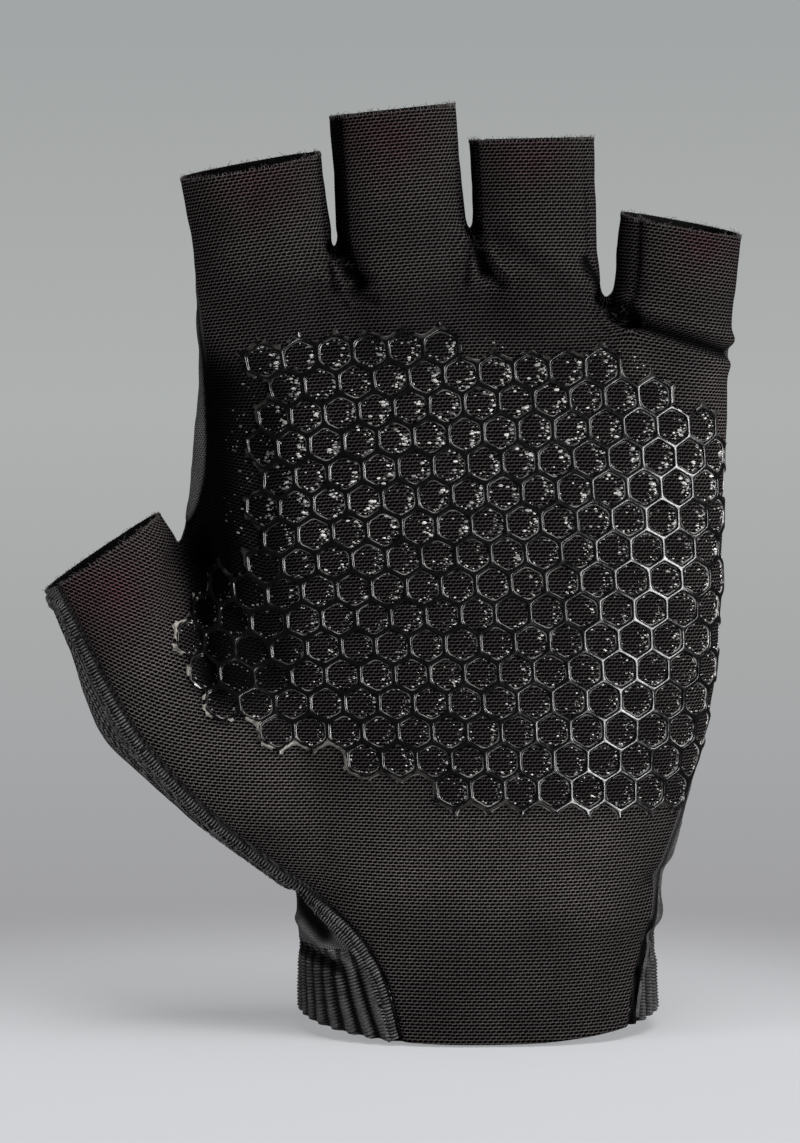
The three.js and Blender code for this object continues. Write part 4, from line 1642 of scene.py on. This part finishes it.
def tint_of(p):
    tint = np.zeros(len(p))
    for spot in WARM_SPOTS:
        tint = np.maximum(tint, bell(spot_distance(p, spot["x"], spot["z"]), spot["reach"]))
    return tint * (0.75 + 0.3 * soft_noise(p, 5.0, 2.0))


def declare_sheet(faces, flat):
    """Works out a panel's layout width and length and reads each face's layout places, but keeps
    nothing.
    """
    width, length = np.ptp(flat, axis=0) * MM
    for face in faces:
        u, v = flat[list(face)].T


def print_of(flat, chart):
    """Whether a place of the flat layout is in one of the honeycomb's cells."""
    centres = np.concatenate([chart.flat(cell, [(0, 0)]) for cell in whole_cells()])
    nearest = np.full(len(flat), 1e9)
    for centre in centres:
        nearest = np.minimum(nearest, np.linalg.norm(flat - centre, axis=1))
    return 1 - smoothstep(nearest, 0.5 * HEX_PITCH, 0.75 * HEX_PITCH)


def add_ribs(points, faces):
    """The wristband cut finer, with its ribs standing out, and the painted shade of its furrows."""
    bm = bmesh.new()
    bm.from_mesh(new_mesh("ribs", points, faces))
    bmesh.ops.subdivide_edges(bm, edges=bm.edges, cuts=1, use_grid_fill=True)
    points, faces = taken_from(bm)
    points = points / MM
    flat = lay_flat(points, faces, ribs_up(points))
    wave = np.cos(2 * np.pi * flat[:, 0] / RIB_PITCH)
    x, y, z = points.T
    fade = 1 - RIB_TOP["lower"] * smoothstep(z, *RIB_TOP["levels"])
    fade *= 1 - RIB_LEFT["lower"] * smoothstep(-x, *RIB_LEFT["across"]) * (y < RIB_LEFT["behind"])
    rise = RIB_HEIGHT * (np.sign(wave) * np.abs(wave) ** RIB_BOXY) * fade - RIB_SINK
    normals = smooth_normals(points, faces, 2)
    # painted shade in the furrows between the ribs
    lit = FURROW_PAINTED_SHADE + (1 - FURROW_PAINTED_SHADE) * smoothstep(wave, -0.8, 0.6)
    return points + normals * rise[:, None], faces, flat, lit


def cloth_panel(node, points, faces, flat, look, values=()):
    """One sewn panel, which takes the place of its node."""
    # each panel carries its painted shade and light as kept
    values = {"kept": painted_light_share(points), **dict(values)}
    piece = cloth_piece(node + "_cloth", points, faces, flat, look, values)
    declare_sheet(faces, flat)
    finish_piece(piece, node)


def plain_piece(name, slot, node, look, points, faces, values=(), merge=MERGE):
    piece = new_object(name, tidy_mesh(name, points, faces, values, merge))
    piece.data.materials.append(look)
    finish_piece(piece, node)


def worn_cloth():
    """The whole outer face: points, faces and each face's panel."""
    points, faces = filled_form()
    points = turn_index_side_back(points)
    points = relax(points, edge_pairs(faces), FORM_SMOOTHING)
    points = close_fingers(points)
    points, faces = refine(points, faces)
    points, faces, panel = cut_form(points, faces)
    normals = smooth_normals(points, faces, 3)
    return points + normals * cloth_relief(points)[:, None], faces, panel


def build_palm(points, faces, look):
    flat = lay_flat(points, faces, rows_up(points))
    chart = PrintChart(points, flat)
    values = {"tint": tint_of(points), "print": print_of(flat, chart)}
    cloth_panel("palm_panel", points, faces, flat, look, values)
    wrap = Wrap(points, faces, flat)
    ridges = honeycomb(wrap, chart)
    plain_piece("grip_ridges", "silicone", "grip_print", silicone(), *ridges, RIDGE_MERGE)
    plain_piece("grip_flecks", "silicone", "grip_print", silicone_fleck(), *flecks(wrap, chart))


def build_back(points, faces, panel):
    behind = np.isin(panel, ["back_panel", "ribbed_cuff"])
    back_points, back_faces, used = sub_mesh(points, faces, behind)
    layout = np.zeros((len(points), 2))
    layout[used] = lay_flat(back_points, back_faces, rows_up(back_points))
    p, f, chosen = sub_mesh(points, faces, panel == "back_panel")
    away = np.minimum(thumb_seam_distance(p), 14)
    lined = smoothstep(away, 2.6, 3.6) * (1 - smoothstep(away, 9.0, 12.5)) * smoothstep(p[:, 2], 20, 28)
    values = {"away": away, "lined": lined}
    cloth_panel("back_panel", p, f, layout[chosen], fine_knit(), values)


def build_cuff(points, faces):
    points, faces, flat, rib = add_ribs(points, faces)
    cloth_panel("ribbed_cuff", points, faces, flat, rib_knit(), {"rib": rib})
    strokes = rib_strokes(points, faces, flat)
    plain_piece("cuff_strokes", "rib_knit", "ribbed_cuff", thread_look("rib_thread"), *strokes)


def build_welts(points, faces):
    skin = Skin(points, faces)
    thread = thread_look("overlock_thread")
    for node, welt in WELTS.items():
        body = thread_look("welt_base" if welt["rows"] else "seam_roll")
        plain_piece(node + "_band", "overlock_thread", node, body, *band(skin, welt))
        plain_piece(node + "_stitches", "overlock_thread", node, thread, *overlock(skin, welt))


def build_glove():
    cloth_inside()
    mesh = mesh_knit()
    points, faces, panel = worn_cloth()

    def part(name):
        return sub_mesh(points, faces, panel == name)[:2]

    build_palm(*part("palm_panel"), mesh)
    build_back(points, faces, panel)
    build_cuff(*part("ribbed_cuff"))
    for name in WEBS:
        p, f = part(name)
        cloth_panel(name, p, f, lay_flat(p, f, front_to_back(p), False), mesh)
    kept, kept_faces, _ = sub_mesh(points, faces, panel != "")
    build_welts(kept, kept_faces)
    fuzz = thread_look("raw_edge_thread")
    plain_piece("mouth_fringe", "mesh_knit", "palm_panel", fuzz, *mouth_fringe(kept))


# Floor, light and camera

FLOOR_Z = -3.4
FLOOR_REACH = 400.0
FLOOR_SIDES = 96
FLOOR_GLOW = 0.30
# Where the floor is whole, in metres, and how far from there it has faded away
FLOOR_POOL = {"middle": (-0.014, -0.10), "whole": 0.11, "gone": 0.23}
# The backdrop's colour by how far a view looks down
BACKDROP = table("z colour", [
    (-0.17, (0.352, 0.352, 0.366, 1)),
    (-0.045, (0.423, 0.440, 0.429, 1)),
    (0.05, (0.366, 0.381, 0.381, 1)),
])
ROOM_COLOUR = (0.36, 0.365, 0.38, 1)
ROOM_LIGHT = 0.12
# Soft lights, in metres and watts: a slanted strip on the right that the ridges mirror, and two
# more that only light the cloth
LIGHTS = table("name place at size power in_gloss roll", [
    ("key", (0.70, -0.62, 0.12), (0, 0, 0.07), (0.13, 0.9), 11.5, True, -48.0),
    ("left", (-0.9, -0.4, 0.2), (0, 0, 0.06), (0.3, 0.6), 4.5, False, 0.0),
    ("top", (0.15, -0.25, 1.3), (0, 0, 0.0), (0.9, 0.9), 14.0, False, 0.0),
])
CAMERA_LOOKS_AT = (-14.04, 0.0, 79.0)
LENS = 122.95


def pale_floor():
    s = Shader("pale_floor")
    s.finish(Base_Color=(0.36, 0.362, 0.38, 1), Roughness=0.9, Specular_IOR_Level=0.1)
    seen = s.add("ShaderNodeLightPath").outputs["Is Camera Ray"]
    strength = s.times(seen, FLOOR_GLOW)
    glow = s.add("ShaderNodeEmission", {"Color": (0.97, 0.99, 1.0, 1), "Strength": strength})
    both = s.add("ShaderNodeAddShader", {0: s.surface.outputs[0], 1: glow.outputs[0]})
    offsets = zip(s.parts(s.place()), FLOOR_POOL["middle"])
    x2, y2 = [s.math("POWER", s.plus(part, -middle), 2.0) for part, middle in offsets]
    faded = s.smooth(s.math("SQRT", s.plus(x2, y2)), FLOOR_POOL["whole"], FLOOR_POOL["gone"])
    nothing = s.add("ShaderNodeBsdfTransparent")
    blend = s.add("ShaderNodeMixShader", {0: faded, 1: both.outputs[0], 2: nothing.outputs[0]})
    s.put(s.tree.nodes["Material Output"].inputs["Surface"], blend.outputs[0])
    return s.material


def build_floor():
    turn = 2 * np.pi * np.arange(FLOOR_SIDES) / FLOOR_SIDES
    x, y = FLOOR_REACH * np.cos(turn), FLOOR_REACH * np.sin(turn)
    ring = np.stack([x, y, np.full(FLOOR_SIDES, FLOOR_Z)], 1)
    floor = new_object("floor", new_mesh("floor", ring, [tuple(range(FLOOR_SIDES))]))
    floor.data.materials.append(pale_floor())
    floor.visible_glossy = False


def build_world():
    world = bpy.data.worlds.new("studio")
    world.use_nodes = True
    w = Nodes(world.node_tree)
    low, high = BACKDROP[0]["z"], BACKDROP[-1]["z"]
    rise = w.parts(w.add("ShaderNodeTexCoord").outputs["Generated"])[2]
    level = w.add("ShaderNodeMapRange", {0: rise, 1: low, 2: high}).outputs[0]
    ramp = w.add("ShaderNodeValToRGB", {0: level})
    ramp.color_ramp.elements[0].color = BACKDROP[0]["colour"]
    ramp.color_ramp.elements[1].color = BACKDROP[-1]["colour"]
    for row in BACKDROP[1:-1]:
        ramp.color_ramp.elements.new((row["z"] - low) / (high - low)).color = row["colour"]
    seen = w.tree.nodes["Background"]
    w.put(seen.inputs["Color"], ramp.outputs[0])
    lit = w.add("ShaderNodeBackground", {"Color": ROOM_COLOUR, "Strength": ROOM_LIGHT})
    ray = w.add("ShaderNodeLightPath").outputs["Is Camera Ray"]
    mix = w.add("ShaderNodeMixShader", {0: ray, 1: lit.outputs[0], 2: seen.outputs[0]})
    w.put(w.tree.nodes["World Output"].inputs["Surface"], mix.outputs[0])
    bpy.context.scene.world = world


def area_light(name, place, at, size, power, in_gloss, roll):
    data = bpy.data.lights.new(name, "AREA")
    data.shape = "RECTANGLE"
    data.size, data.size_y = size
    data.energy = power
    light = new_object(name, data)
    light.visible_glossy = in_gloss
    light.visible_camera = False
    light.location = place
    aim = (Vector(at) - Vector(place)).to_track_quat("-Z", "Y")
    light.rotation_euler = (aim @ Quaternion((0, 0, 1), math.radians(roll))).to_euler()


def build_lights():
    build_world()
    for row in LIGHTS:
        area_light(**row)


def build_camera():
    data = bpy.data.cameras.new("camera")
    data.lens = LENS
    data.sensor_width = 36.0
    data.clip_start = 0.01
    camera = new_object("camera", data)
    place, at = Vector(CAMERA_PLACE) * MM, Vector(CAMERA_LOOKS_AT) * MM
    camera.location = place
    camera.rotation_euler = (at - place).to_track_quat("-Z", "Y").to_euler()
    bpy.context.scene.camera = camera


bpy.context.scene.view_settings.view_transform = "Standard"
build_camera()
build_floor()
build_lights()
build_glove()
